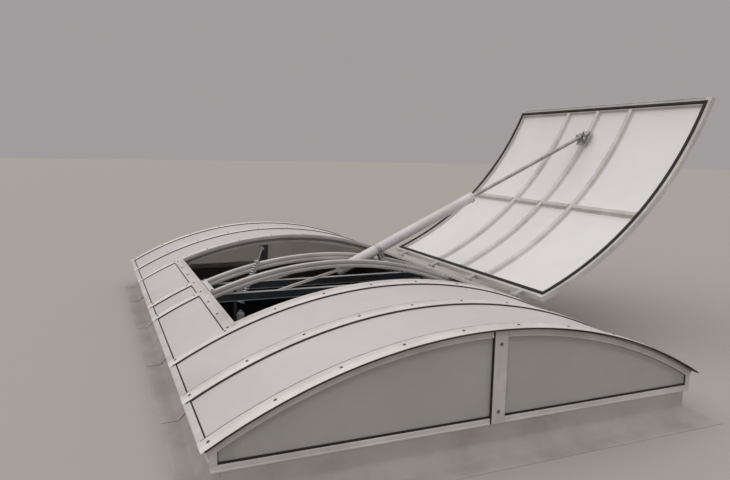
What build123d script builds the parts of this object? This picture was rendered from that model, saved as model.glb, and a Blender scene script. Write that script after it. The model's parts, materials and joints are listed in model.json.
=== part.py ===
from build123d import *
import os
from math import asin, atan2, cos, degrees, radians, sin, sqrt, tan

os.makedirs("parts", exist_ok=True)

# Barrel-vault roof skylight with one large vent flap, in millimetres
# X runs across the vault, Y along it, Z up; the origin is on the roof, under the middle of the kerb

# Driving dimensions of the vault
width_over_eaves = 2900.0
vault_rise = 398.0
eave_tip_height = 275.0
sheet_t = 16.0
strip_t = 4.0
strip_gasket_t = 5.0
strip_w = 100.0
strip_gasket_lip = 2.0
arch_w = 45.0
arch_d = 60.0
stem_w = 16.0
sheet_gap = 2.0

# Bays between the arches along the vault, from the middle to one gable
twin_y = 193.5
opening_bay = 1060.0
side_bay = 584.5
gable_bay = 555.5
gable_end = 16.5

# Kerb, membrane and sills
eave_overhang = 93.0
kerb_h = 162.0
kerb_t = 60.0
flange_w = 90.0
flange_t = 6.0
fixing_r = 7.0
fixing_inset = 50.0
fixing_pitch = 900.0
membrane_t = 4.0
cant = 60.0
lap_w = 100.0
sill_h = 35.0
sill_d = 70.0
eave_gasket_inset = 35.0
eave_gasket_w = 8.0
eave_seat = 90.0
eave_foot_w = 67.0
eave_face_inset = 45.0
eave_nose_drop = 16.0

# Vent opening and its raised lip
side_band_w = 405.0
profile_w = 77.0
lip_w = 25.0
lip_inset = 10.0
lip_h = 8.0
profile_gasket_w = 6.0
profile_gasket_rise = 3.0

# Gables
mullion_x = 50.0
mullion_cover_w = 80.0
mullion_cover_t = 6.0
mullion_post_w = 40.0
mullion_post_d = 40.0
mullion_stem_w = 6.0
mullion_top_gap = 4.0
gable_setback = 6.0
gable_gasket_w = 10.0
gable_gasket_side = 4.0
gable_head_h = 15.0
end_post_w = 30.0
rim_lap = 12.0
rim_gap = 5.0
rim_t = 5.0

# Screws
screw_head_r = 9.0
screw_head_h = 5.0
strip_screw_end = 48.0
strip_screw_count = 10
profile_screw_pitch = 345.0
mullion_screw_low = 31.0
mullion_screw_high = 63.0

# Flap
open_angle = 135.8
seal_w = 26.0
seal_gap = 0.5
flap_seal_h = 13.5
flap_frame_t = 42.0
flap_flange = 44.0
flap_inset = 22.0
flap_skirt_t = 6.0
flap_skirt_d = 6.0
flap_sheet_t = 10.0
flap_sheet_sink = 4.0
rib_w = 65.0
rib_y = 420.0
rib_d = 34.0
cross_rib_share = 0.49

# Hinges
hinge_step = 664.0
hinge_count = 4
hinge_lift = 28.3
hinge_out = 66.4
hinge_pin_r = 8.0
hinge_ear_r = 16.0
hinge_ear_t = 12.0
hinge_side_gap = 0.5
knuckle_w = 50.0
hinge_run = 0.08
hinge_plate_t = 5.0
hinge_plate_w = 45.0
hinge_arm_low = 11.0
hinge_arm_high = 12.0

# Twin arch gear inside the opening
channel_lift = 97.0
channel_h = 60.0
tie_plate_t = 8.0
tie_plate_w = 36.0
tie_plate_inset = 35.0
stay_foot_x = -480.0
stay_d = 18.0
stay_w = 24.0
stay_slope = 15.3
drop_bar_x = -850.0
drop_bar_w = 24.0
drop_bar_l = 222.0
hanger_inset = 260.0
hanger_w = 20.0
valve_w = 60.0
valve_h = 110.0
valve_drop = 190.0

# Cylinder, cradle and rod
trunnion_x = 500.0
trunnion_sink = 25.0
cylinder_slope = 25.3
tube_offset = 127.0
tube_head = 1015.0
tube_tail = 410.0
tube_r = 45.0
tube_wall = 6.0
gland_in = 35.0
gland_out = 25.0
gland_r = 50.0
cap_l = 25.0
rod_r = 16.5
rod_run = 0.08
pin_drop = 38.3
piston_l = 40.0
piston_gap = 5.0
shaft_r = 15.0
shaft_run = 0.08
bracket_t = 8.0
bracket_l = 90.0
bush_r = 26.0
collar_r = 22.0
side_run = 0.5
web_w = 40.0
cradle_w = 64.0
clamp_l = 40.0
clamp_margin = 8.0
eye_r = 28.0
eye_w = 40.0
eye_neck_r = 22.0
eye_neck_l = 45.0
washer_r = 18.0
washer_t = 4.0
rod_pin_r = 12.0
rod_pin_half = 70.0
saddle_ear_y = 52.0
saddle_ear_t = 10.0
saddle_run = 0.5
saddle_base_t = 10.0
saddle_l = 150.0
saddle_ear_l = 84.0
saddle_lip = 18.0
saddle_mouth = (-80.0, 6.0)

# Lift spring
spring_foot_x = -726.0
spring_foot_drop = 84.0
spring_lean = 22.4
spring_y = 110.0
spring_l = 350.0
spring_r = 25.0
spring_wire = 9.0
spring_pitch = 22.0
spring_core = 6.0
guide_r = 14.0
guide_bore = 9.0
guide_l = 190.0
plunger_r = 8.0
plunger_start = 40.0
plunger_cap_r = 30.0
plunger_cap_t = 8.0
plunger_rise = 117.0
plunger_ball_r = 14.0
guide_foot_r = 32.0
guide_foot_t = 8.0
guide_arm_w = 50.0
guide_web_t = 8.0
guide_web_drop = 102.0

# Places along and across the vault that follow from the sizes above
opening_y = twin_y + opening_bay
side_y = opening_y + side_bay
gable_y = side_y + gable_bay
kerb_l = 2 * (gable_y + gable_end)
half_w = width_over_eaves / 2
kerb_w = 2 * (half_w - eave_overhang)
eave_gasket_x = half_w - eave_gasket_inset
eave_face_x = half_w - eave_face_inset
opening_edge_x = half_w - side_band_w
tie_plate_x = opening_edge_x - tie_plate_inset
hanger_x = opening_edge_x - hanger_inset
channel_z = eave_tip_height + channel_lift
channel_top = channel_z + channel_h
hinge_y = [(i - (hinge_count - 1) / 2) * hinge_step for i in range(hinge_count)]

# Radii of the vault's layers about its own axis
strip_r = (half_w**2 + vault_rise**2) / (2 * vault_rise)
axis_z = eave_tip_height + vault_rise - strip_r
gasket_r = strip_r - strip_t
sheet_r = gasket_r - strip_gasket_t
arch_r = sheet_r - sheet_t
arch_in_r = arch_r - arch_d
lip_r = strip_r + lip_h
seal_r = lip_r + seal_gap
frame_r = seal_r + flap_seal_h
frame_out_r = frame_r + flap_frame_t
flap_sheet_r = frame_out_r - flap_sheet_sink
rib_out_r = flap_sheet_r - flap_sheet_t
rib_in_r = rib_out_r - rib_d


def at_x(x, r=strip_r):
    """Angle from the crown, in degrees, of the point of radius r that lies at x."""
    return degrees(asin(x / r))


def turn_of(length, r=strip_r):
    """Angle, in degrees, that a length covers along the arc of radius r."""
    return degrees(length / r)


tip_a = at_x(half_w)
eave_gasket_a = at_x(eave_gasket_x)
sheet_end_a = eave_gasket_a - turn_of(eave_gasket_w / 2)
seat_a = eave_gasket_a - turn_of(eave_seat)
edge_a = at_x(opening_edge_x)
profile_a = edge_a + turn_of(profile_w)
lip_a = edge_a + turn_of(lip_w)
seal_a = edge_a + turn_of(lip_w / 2)
gable_face = kerb_l / 2
gable_sheet_face = gable_face - gable_setback
gable_back = gable_sheet_face - sheet_t
gable_head_r = arch_r - gable_head_h
gable_in_x = eave_face_x - end_post_w
sill_top = kerb_h + sill_h
lip_y0 = opening_y - strip_w / 2 - lip_inset
lip_y1 = lip_y0 + lip_w
seal_y = (lip_y0 + lip_y1) / 2


def polar(r, a):
    """Point of the vault's section at radius r and angle a from the crown."""
    return (r * sin(radians(a)), axis_z + r * cos(radians(a)))


flap_out_a = seal_a + turn_of(flap_flange)
hinge_r = strip_r + hinge_lift
hinge_a = flap_out_a + turn_of(hinge_out)
hinge_x, hinge_z = polar(hinge_r, hinge_a)


def section(y):
    """Plane of the vault's section at y; extruding runs towards -Y."""
    return Plane(origin=(0, y, 0), x_dir=(1, 0, 0), z_dir=(0, -1, 0))


def turned(y, angle, px, pz):
    """Section plane turned by an angle, counter-clockwise seen along +Y, about a point."""
    c, s = cos(radians(angle)), sin(radians(angle))
    origin = (px - c * px + s * pz, y, pz - s * px - c * pz)
    return Plane(origin=origin, x_dir=(c, 0, s), z_dir=(0, -1, 0))


def flap_section(y):
    """Section plane that moves with the flap, here swung open."""
    return turned(y, -open_angle, hinge_x, hinge_z)


def band(r0, r1, a0, a1, y0, y1, plane=section, mode=Mode.ADD):
    """Curved bar between two radii, two angles and two places along the vault."""
    mid = (a0 + a1) / 2
    with BuildSketch(plane(y1)) as face:
        with BuildLine():
            ThreePointArc(polar(r1, a0), polar(r1, mid), polar(r1, a1))
            Line(polar(r1, a1), polar(r0, a1))
            ThreePointArc(polar(r0, a1), polar(r0, mid), polar(r0, a0))
            Line(polar(r0, a0), polar(r1, a0))
        make_face()
    extrude(face.sketch, amount=y1 - y0, mode=mode)


def slab(x0, x1, y0, y1, z0, z1, mode=Mode.ADD):
    """Box between two corners."""
    with Locations(((x0 + x1) / 2, (y0 + y1) / 2, (z0 + z1) / 2)):
        Box(x1 - x0, y1 - y0, z1 - z0, mode=mode)


def gable_plate(x0, x1, z0, r, y0, y1, mode=Mode.ADD):
    """Upright plate from x0 to x1 and from z0 up to the arc of radius r."""
    with BuildSketch(section(y1)) as face:
        with Locations(((x0 + x1) / 2, z0 + vault_rise)):
            Rectangle(x1 - x0, 2 * vault_rise)
        with Locations((0, axis_z)):
            Circle(r, mode=Mode.INTERSECT)
    extrude(face.sketch, amount=y1 - y0, mode=mode)


def save(builder, name):
    """Label a finished piece and write it."""
    builder.part.label = name
    export_step(builder.part, f"parts/{name}.step")


# Kerb walls with their inner foot flange
def fixing_places():
    """Fixing holes of the foot flange, symmetrical about both centre lines."""
    hx = kerb_w / 2 - kerb_t - fixing_inset
    hy = kerb_l / 2 - kerb_t - fixing_inset
    rows = [fixing_pitch * (i + 0.5) for i in range(int((hy - fixing_pitch / 4) / fixing_pitch))]
    places = [(sx * hx, sy * y) for y in rows + [hy] for sx in (-1, 1) for sy in (-1, 1)]
    return places + [(0, -hy), (0, hy)]


def kerb_wall(name, x0, x1, y0, y1, fx0, fx1, fy0, fy1):
    with BuildPart() as wall:
        slab(x0, x1, y0, y1, 0, kerb_h)
        slab(fx0, fx1, fy0, fy1, 0, flange_t)
        inside = [p for p in fixing_places() if fx0 < p[0] < fx1 and fy0 < p[1] < fy1]
        with Locations(*[(x, y, 0) for x, y in inside]):
            Cylinder(fixing_r, 4 * flange_t, mode=Mode.SUBTRACT)
    save(wall, name)


kx, ky = kerb_w / 2, kerb_l / 2
ix, iy = kx - kerb_t, ky - kerb_t
for name, s in (("kerb_left", -1), ("kerb_right", 1)):
    ends, feet = sorted((s * kx, s * ix)), sorted((s * kx, s * (ix - flange_w)))
    kerb_wall(name, *ends, -iy, iy, *feet, -iy, iy)
for name, s in (("kerb_front", -1), ("kerb_rear", 1)):
    ends, feet = sorted((s * ky, s * iy)), sorted((s * ky, s * (iy - flange_w)))
    reach = ix - flange_w
    kerb_wall(name, -kx, kx, *ends, -reach, reach, *feet)

# Roofing membrane: upstand, cant and lap in one skin round the kerb
with BuildPart() as membrane:
    with BuildSketch():
        Rectangle(kerb_w + 2 * (membrane_t + cant + lap_w), kerb_l + 2 * (membrane_t + cant + lap_w))
    extrude(amount=membrane_t)
    with BuildSketch(Plane.XY.offset(membrane_t)):
        Rectangle(kerb_w + 2 * (membrane_t + cant), kerb_l + 2 * (membrane_t + cant))
    extrude(amount=cant, taper=45)
    with BuildSketch():
        Rectangle(kerb_w + 2 * membrane_t, kerb_l + 2 * membrane_t)
    extrude(amount=kerb_h)
    with BuildSketch():
        Rectangle(kerb_w, kerb_l)
    extrude(amount=kerb_h, mode=Mode.SUBTRACT)
save(membrane, "membrane")

# Sills under the gables, with a post at each end
with BuildPart() as sills:
    for s in (-1, 1):
        ys = sorted((s * gable_back, s * (gable_face - sill_d)))
        slab(-kx + eave_foot_w, kx - eave_foot_w, *ys, kerb_h, sill_top)
        ys = sorted((s * gable_face, s * gable_back))
        slab(-eave_face_x, eave_face_x, *ys, kerb_h, sill_top)
        for t in (-1, 1):
            gable_plate(*sorted((t * gable_in_x, t * eave_face_x)), sill_top, gable_head_r, *ys)
save(sills, "sills")


# Eave profiles: foot on the kerb, seat for the sheets, nose under the strip ends
def eave_profile(name, s):
    corners = [
        (kx - eave_foot_w, kerb_h),
        (kx + membrane_t, kerb_h),
        (kx + membrane_t, sill_top),
        (eave_face_x, sill_top),
        (eave_face_x, eave_tip_height - 1.5 * eave_nose_drop),
        (half_w - eave_nose_drop / 4, eave_tip_height - eave_nose_drop),
        polar(gasket_r, tip_a),
        polar(gasket_r, eave_gasket_a + turn_of(eave_gasket_w / 2)),
        polar(arch_r, eave_gasket_a + turn_of(eave_gasket_w / 2)),
        polar(arch_r, seat_a),
        polar(arch_in_r, seat_a),
    ]
    with BuildPart() as eave:
        with BuildSketch(section(gable_back)):
            with BuildLine():
                Polyline(*[(s * x, z) for x, z in corners], close=True)
            make_face()
        extrude(amount=2 * gable_back)
    save(eave, name)


eave_profile("eave_left", -1)
eave_profile("eave_right", 1)


# Arches: a box section with a stem between the sheets that it carries
def arch_pair(centre, box_centre, stem_spans, stem_out=stem_w / 2):
    for s in (-1, 1):
        b0, b1 = sorted((s * (box_centre - arch_w / 2), s * (box_centre + arch_w / 2)))
        band(arch_in_r, arch_r, -seat_a, seat_a, b0, b1)
        s0, s1 = sorted((s * (centre - stem_w / 2), s * (centre + stem_out)))
        for a0, a1 in stem_spans:
            band(arch_r, sheet_r, a0, a1, s0, s1)


whole = [(-seat_a, seat_a)]
beside = [(-seat_a, -profile_a), (profile_a, seat_a)]
head_a = at_x(eave_face_x, gable_head_r)
with BuildPart() as gable_arches:
    arch_pair(gable_y, gable_back - arch_w / 2, whole, gable_face - gable_y)
    for s in (-1, 1):
        band(gable_head_r, sheet_r, -head_a, head_a, *sorted((s * gable_back, s * gable_face)))
save(gable_arches, "gable_arches")
arch_places = ("side_arches", side_y, whole), ("opening_arches", opening_y, whole), ("twin_arches", twin_y, beside)
for name, y, spans in arch_places:
    with BuildPart() as pair:
        arch_pair(y, y, spans)
    save(pair, name)


# Arched sheets
def sheet(name, spans):
    with BuildPart() as panes:
        for a0, a1, y0, y1 in spans:
            band(arch_r, sheet_r, a0, a1, y0, y1)
    save(panes, name)


clear = stem_w / 2 + sheet_gap
end = sheet_end_a
sheet("sheet_front", [(-end, end, -gable_y + clear, -side_y - clear)])
sheet("sheet_front_inner", [(-end, end, -side_y + clear, -opening_y - clear)])
sheet("sheet_rear_inner", [(-end, end, opening_y + clear, side_y - clear)])
sheet("sheet_rear", [(-end, end, side_y + clear, gable_y - clear)])
bays = [(-opening_y, -twin_y), (-twin_y, twin_y), (twin_y, opening_y)]
band_a = profile_a + turn_of(profile_gasket_w)
sheet("band_sheets_left", [(-end, -band_a, y0 + clear, y1 - clear) for y0, y1 in bays])
sheet("band_sheets_right", [(band_a, end, y0 + clear, y1 - clear) for y0, y1 in bays])


# Cover strips, each on a slightly wider gasket
def strip_span(s, centre):
    """Ends along the vault of the strip over the arch at s times centre."""
    return sorted((s * (centre - strip_w / 2), s * (centre + strip_w / 2)))


def opening_strip_span(s):
    """The strips at the opening stop at its raised lip."""
    return sorted((s * lip_y1, s * (opening_y + strip_w / 2)))


with BuildPart() as gable_strips:
    for s in (-1, 1):
        band(gasket_r, strip_r, -tip_a, tip_a, *strip_span(s, gable_y))
save(gable_strips, "gable_strips")
with BuildPart() as side_strips:
    for s in (-1, 1):
        band(gasket_r, strip_r, -tip_a, tip_a, *strip_span(s, side_y))
save(side_strips, "side_strips")
with BuildPart() as opening_strips:
    for s in (-1, 1):
        band(gasket_r, strip_r, -tip_a, tip_a, *opening_strip_span(s))
save(opening_strips, "opening_strips")
with BuildPart() as band_strips:
    for s in (-1, 1):
        for a0, a1 in ((-tip_a, -profile_a), (profile_a, tip_a)):
            band(gasket_r, strip_r, a0, a1, *strip_span(s, twin_y))
save(band_strips, "band_strips")

eave_stop_a = eave_gasket_a + turn_of(eave_gasket_w / 2)
with BuildPart() as strip_gaskets:
    for s in (-1, 1):
        for y0, y1 in (strip_span(s, gable_y), strip_span(s, side_y)):
            band(sheet_r, gasket_r, -eave_stop_a, eave_stop_a, y0 - strip_gasket_lip, y1 + strip_gasket_lip)
        y0, y1 = sorted((s * lip_y1, s * (opening_y + strip_w / 2 + strip_gasket_lip)))
        band(sheet_r, gasket_r, -eave_stop_a, eave_stop_a, y0, y1)
        y0, y1 = strip_span(s, twin_y)
        for a0, a1 in ((-eave_stop_a, -profile_a), (profile_a, eave_stop_a)):
            band(sheet_r, gasket_r, a0, a1, y0 - strip_gasket_lip, y1 + strip_gasket_lip)
save(strip_gaskets, "strip_gaskets")


# Frame round the vent opening: flat bars under the strips and a raised lip
stem_face = opening_y - stem_w / 2
for name, s in (("opening_front", -1), ("opening_rear", 1)):
    with BuildPart() as bar:
        band(arch_r, lip_r, -edge_a, edge_a, *sorted((s * lip_y0, s * lip_y1)))
        band(arch_r, sheet_r, -profile_a, profile_a, *sorted((s * lip_y1, s * stem_face)))
    save(bar, name)
for name, s in (("opening_left", -1), ("opening_right", 1)):
    with BuildPart() as bar:
        band(arch_r, strip_r, *sorted((s * edge_a, s * profile_a)), -lip_y1, lip_y1)
        band(strip_r, lip_r, *sorted((s * edge_a, s * lip_a)), -lip_y1, lip_y1)
    save(bar, name)

with BuildPart() as edge_gaskets:
    for s in (-1, 1):
        band(arch_r, sheet_r, *sorted((s * sheet_end_a, s * eave_stop_a)), -gable_back, gable_back)
        for y0, y1 in bays:
            ends = y0 + stem_w / 2, y1 - stem_w / 2
            band(arch_r, sheet_r, *sorted((s * profile_a, s * band_a)), *ends)
            free = y0 + strip_w / 2 + strip_gasket_lip, y1 - strip_w / 2 - strip_gasket_lip
            top = sheet_r + profile_gasket_rise
            band(sheet_r, top, *sorted((s * profile_a, s * band_a)), *free)
save(edge_gaskets, "edge_gaskets")


# Gables: two flat sheets with a mullion between them, a rim and gaskets
rim_in_r = gable_head_r - rim_lap
for name, s in (("gable_sheets_front", -1), ("gable_sheets_rear", 1)):
    with BuildPart() as panes:
        ys = sorted((s * gable_sheet_face, s * gable_back))
        gable_plate(-gable_in_x, mullion_x - mullion_stem_w / 2 - sheet_gap, sill_top, gable_head_r, *ys)
        gable_plate(mullion_x + mullion_stem_w / 2 + sheet_gap, gable_in_x, sill_top, gable_head_r, *ys)
    save(panes, name)

cover_x0, cover_x1 = mullion_x - mullion_cover_w / 2, mullion_x + mullion_cover_w / 2
with BuildPart() as mullions:
    for s in (-1, 1):
        ys = sorted((s * gable_back, s * (gable_back - mullion_post_d)))
        post = mullion_x - mullion_post_w / 2, mullion_x + mullion_post_w / 2
        gable_plate(*post, sill_top, arch_in_r, *ys)
        ys = sorted((s * gable_face, s * gable_back))
        stem = mullion_x - mullion_stem_w / 2, mullion_x + mullion_stem_w / 2
        gable_plate(*stem, sill_top, gable_head_r, *ys)
        ys = sorted((s * (gable_face + mullion_cover_t), s * gable_face))
        gable_plate(cover_x0, cover_x1, kerb_h, sheet_r - mullion_top_gap, *ys)
save(mullions, "mullions")

with BuildPart() as gable_rims:
    for s in (-1, 1):
        ys = sorted((s * (gable_face + rim_t), s * gable_face))
        band(rim_in_r, sheet_r - rim_gap, -head_a, head_a, *ys)
        gap = cover_x0 - sheet_gap, cover_x1 + sheet_gap
        slab(*gap, ys[0], ys[1], sill_top, strip_r + axis_z, mode=Mode.SUBTRACT)
save(gable_rims, "gable_rims")

with BuildPart() as gable_gaskets:
    for s in (-1, 1):
        ys = sorted((s * gable_face, s * gable_sheet_face))
        gable_plate(-gable_in_x, gable_in_x, sill_top, gable_head_r, *ys)
        inner = gable_in_x - gable_gasket_side
        spans = (-inner, cover_x0 - gable_gasket_w), (cover_x1 + gable_gasket_side, inner)
        for x0, x1 in spans:
            gable_plate(x0, x1, sill_top + gable_gasket_w, rim_in_r, *ys, mode=Mode.SUBTRACT)
        stem = mullion_x - mullion_stem_w / 2, mullion_x + mullion_stem_w / 2
        gable_plate(*stem, sill_top, gable_head_r, *ys, mode=Mode.SUBTRACT)
save(gable_gaskets, "gable_gaskets")


# Screw heads on the strips, the opening profiles, the tie plates and the mullions
def on_vault(a, y, r=strip_r):
    """Plane that lies on the vault at angle a, with its normal pointing outwards."""
    x, z = polar(r, a)
    return Plane(origin=(x, y, z), x_dir=(0, 1, 0), z_dir=(sin(radians(a)), 0, cos(radians(a))))


row_end = tip_a - turn_of(strip_screw_end)
row = [row_end * (2 * i / (strip_screw_count - 1) - 1) for i in range(strip_screw_count)]
profile_mid = (lip_a + profile_a) / 2
profile_rows = int(2 * opening_y / profile_screw_pitch) + 1
screw_places = [on_vault(a, s * y) for a in row for y in (gable_y, side_y, opening_y) for s in (-1, 1)]
screw_places += [on_vault(sa * row_end, s * twin_y) for sa in (-1, 1) for s in (-1, 1)]
for i in range(profile_rows):
    y = (i - (profile_rows - 1) / 2) * profile_screw_pitch
    screw_places += [on_vault(s * profile_mid, y) for s in (-1, 1)]
tie_a = at_x(tie_plate_x, arch_r)
tie_half = turn_of(tie_plate_w / 2, arch_r)
for s in (-1, 1):
    screw_places += [on_vault(s * tie_a, y, arch_r + tie_plate_t) for y in (-twin_y, twin_y)]
for s in (-1, 1):
    face = s * (gable_face + mullion_cover_t)
    for z in (sill_top + mullion_screw_low, axis_z + arch_r - mullion_screw_high):
        screw_places.append(Plane(origin=(mullion_x, face, z), x_dir=(1, 0, 0), z_dir=(0, s, 0)))
with BuildPart() as screws:
    with Locations(*screw_places):
        Cylinder(screw_head_r, screw_head_h, align=(Align.CENTER, Align.CENTER, Align.MIN))
save(screws, "screws")


# Gear between the twin arches
with BuildPart() as tie_plates:
    for s in (-1, 1):
        reach = twin_y + arch_w / 2
        spans = s * tie_a - tie_half, s * tie_a + tie_half
        band(arch_r, arch_r + tie_plate_t, *spans, -reach, reach)
save(tie_plates, "tie_plates")

with BuildPart() as cross_channels:
    for s in (-1, 1):
        ys = sorted((s * (twin_y - arch_w / 2), s * (twin_y + arch_w / 2)))
        gable_plate(-half_w, half_w, channel_z, arch_in_r, *ys)
        slab(-half_w, half_w, *ys, channel_top, strip_r, mode=Mode.SUBTRACT)
        half = hanger_w / 2
        hanger = hanger_x - half, hanger_x + half
        gable_plate(*hanger, channel_top, arch_in_r, s * twin_y - half, s * twin_y + half)
    half = drop_bar_w / 2
    drop_bar = drop_bar_x, drop_bar_x + drop_bar_w
    slab(*drop_bar, -twin_y - half, -twin_y + half, channel_z - drop_bar_l, channel_z)
save(cross_channels, "cross_channels")

with BuildPart() as stays:
    for s in (-1, 1):
        run, rise = half_w, half_w * tan(radians(stay_slope))
        half = stay_d / 2 / sin(radians(stay_slope))
        x0, x1 = stay_foot_x - half, stay_foot_x + half
        with BuildSketch(section(s * twin_y + stay_w / 2)) as face:
            with BuildLine():
                ends = (x0, channel_top), (x1, channel_top)
                tops = (x1 + run, channel_top + rise), (x0 + run, channel_top + rise)
                Polyline(*ends, *tops, close=True)
            make_face()
            with Locations((0, axis_z)):
                Circle(arch_in_r, mode=Mode.INTERSECT)
        extrude(face.sketch, amount=stay_w)
save(stays, "stays")

with BuildPart() as valve_box:
    x0 = drop_bar_x + drop_bar_w
    z0 = channel_z - valve_drop
    slab(x0, x0 + valve_w, -twin_y - valve_w / 2, -twin_y + valve_w / 2, z0, z0 + valve_h)
    fillet(valve_box.faces().sort_by(Axis.X)[-1].edges(), radius=valve_w / 6)
save(valve_box, "valve_box")


# Hinges on the right-hand side of the opening
def across(radius, x, z, y0, y1, mode=Mode.ADD):
    """Round bar along Y through the point (x, z)."""
    with BuildSketch(section(y1)) as face:
        with Locations((x, z)):
            Circle(radius)
    extrude(face.sketch, amount=y1 - y0, mode=mode)


with BuildPart() as hinge_brackets:
    plate_r = strip_r + hinge_plate_t
    a0, a1 = profile_a - turn_of(hinge_plate_w), hinge_a + turn_of(hinge_ear_r)
    reach = knuckle_w / 2 + hinge_side_gap + hinge_ear_t
    for y in hinge_y:
        band(strip_r, plate_r, a0, a1, y - reach, y + reach)
        for s in (-1, 1):
            ys = sorted((y + s * reach, y + s * (reach - hinge_ear_t)))
            band(plate_r, hinge_r, hinge_a - turn_of(hinge_ear_r), a1, *ys)
            across(hinge_ear_r, hinge_x, hinge_z, *ys)
        across(hinge_pin_r, hinge_x, hinge_z, y - reach, y + reach)
save(hinge_brackets, "hinge_brackets")


# Flap, drawn shut on the vault and swung open about its hinge
flap_in_y = seal_y - flap_inset
flap_out_y = seal_y + flap_flange
flap_in_a = seal_a - turn_of(flap_inset)
skirt_in_r = frame_r - flap_skirt_d
skirt_in_y = flap_out_y - flap_skirt_t
skirt_in_a = flap_out_a - turn_of(flap_skirt_t)

for name, s in (("flap_frame_front", -1), ("flap_frame_rear", 1)):
    with BuildPart() as member:
        top = sorted((s * flap_in_y, s * flap_out_y))
        band(frame_r, frame_out_r, -flap_out_a, flap_out_a, *top, flap_section)
        skirt = sorted((s * skirt_in_y, s * flap_out_y))
        band(skirt_in_r, frame_r, -flap_out_a, flap_out_a, *skirt, flap_section)
    save(member, name)
for name, s in (("flap_frame_free", -1), ("flap_frame_hinge", 1)):
    with BuildPart() as member:
        top = sorted((s * flap_in_a, s * flap_out_a))
        band(frame_r, frame_out_r, *top, -flap_in_y, flap_in_y, flap_section)
        skirt = sorted((s * skirt_in_a, s * flap_out_a))
        band(skirt_in_r, frame_r, *skirt, -skirt_in_y, skirt_in_y, flap_section)
    save(member, name)

with BuildPart() as flap_seal:
    half = seal_w / 2
    ring_a = seal_a + turn_of(half)
    for s in (-1, 1):
        ys = sorted((s * (seal_y - half), s * (seal_y + half)))
        band(seal_r, frame_r, -ring_a, ring_a, *ys, flap_section)
        spans = sorted((s * (seal_a - turn_of(half)), s * ring_a))
        band(seal_r, frame_r, *spans, half - seal_y, seal_y - half, flap_section)
save(flap_seal, "flap_seal")

with BuildPart() as flap_sheet:
    band(rib_out_r, flap_sheet_r, -flap_in_a, flap_in_a, -flap_in_y, flap_in_y, flap_section)
save(flap_sheet, "flap_sheet")

for name, places in (("rib_middle", (0,)), ("side_ribs", (-rib_y, rib_y))):
    with BuildPart() as ribs:
        for y in places:
            band(rib_in_r, rib_out_r, -flap_in_a, flap_in_a, y - rib_w / 2, y + rib_w / 2, flap_section)
    save(ribs, name)
with BuildPart() as cross_ribs:
    mid = seal_a * (1 - 2 * cross_rib_share)
    half = turn_of(rib_w / 2)
    for y0, y1 in ((rib_w / 2, rib_y - rib_w / 2), (rib_y + rib_w / 2, flap_in_y)):
        for s in (-1, 1):
            band(rib_in_r, rib_out_r, mid - half, mid + half, *sorted((s * y0, s * y1)), flap_section)
save(cross_ribs, "cross_ribs")


with BuildPart() as knuckles:
    half = knuckle_w / 2
    for y in hinge_y:
        arm = hinge_r - hinge_arm_low, frame_r + hinge_arm_high
        band(*arm, flap_out_a, hinge_a, y - half, y + half, flap_section)
        across(hinge_ear_r, hinge_x, hinge_z, y - half, y + half)
        across(hinge_pin_r + hinge_run, hinge_x, hinge_z, y - half, y + half, Mode.SUBTRACT)
save(knuckles, "knuckles")


# Cylinder, drawn along its own axis from the trunnion
trunnion_r = arch_r - trunnion_sink
trunnion_z = axis_z + sqrt(trunnion_r**2 - trunnion_x**2)
trunnion_a = at_x(trunnion_x, trunnion_r)
aim = (cos(radians(cylinder_slope)), sin(radians(cylinder_slope)))


def on_cylinder(s, n=tube_offset):
    """Point at distance s along the cylinder and n above its trunnion."""
    return (trunnion_x + s * aim[0] - n * aim[1], trunnion_z + s * aim[1] + n * aim[0])


def swung(x, z, angle):
    """Point turned by an angle about the hinge, counter-clockwise seen along +Y."""
    c, s = cos(radians(angle)), sin(radians(angle))
    dx, dz = x - hinge_x, z - hinge_z
    return hinge_x + c * dx - s * dz, hinge_z + s * dx + c * dz


# The rod's pin is where the cylinder's axis meets an arc just inside the open flap's ribs
pin_r = rib_in_r - pin_drop
open_x, open_z = swung(0, axis_z, -open_angle)
start_x, start_z = on_cylinder(0)
back = (open_x - start_x) * aim[0] + (open_z - start_z) * aim[1]
rod_pin = back + sqrt(pin_r**2 - (open_x - start_x) ** 2 - (open_z - start_z) ** 2 + back**2)


def along_cylinder(radius, s0, s1, mode=Mode.ADD):
    """Round bar on the cylinder's axis."""
    x, z = on_cylinder(s0)
    plane = Plane(origin=(x, 0, z), x_dir=(0, 1, 0), z_dir=(aim[0], 0, aim[1]))
    with BuildSketch(plane) as face:
        Circle(radius)
    extrude(face.sketch, amount=s1 - s0, mode=mode)


def cylinder_box(s0, s1, n0, n1, half_y, mode=Mode.ADD):
    """Box square to the cylinder's axis."""
    x, z = on_cylinder(0, 0)
    plane = Plane(origin=(x, half_y, z), x_dir=(aim[0], 0, aim[1]), z_dir=(0, -1, 0))
    with BuildSketch(plane) as face:
        with Locations(((s0 + s1) / 2, (n0 + n1) / 2)):
            Rectangle(s1 - s0, n1 - n0)
    extrude(face.sketch, amount=2 * half_y, mode=mode)


with BuildPart() as trunnion:
    inner = twin_y - arch_w / 2
    half = turn_of(bracket_l / 2, trunnion_r)
    for s in (-1, 1):
        ys = sorted((s * inner, s * (inner - bracket_t)))
        band(arch_in_r, arch_r, trunnion_a - half, trunnion_a + half, *ys)
        ys = sorted((s * (inner - bracket_t), s * (cradle_w / 2 + side_run)))
        across(collar_r, trunnion_x, trunnion_z, *ys)
    across(shaft_r, trunnion_x, trunnion_z, bracket_t - inner, inner - bracket_t)
save(trunnion, "trunnion")

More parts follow.
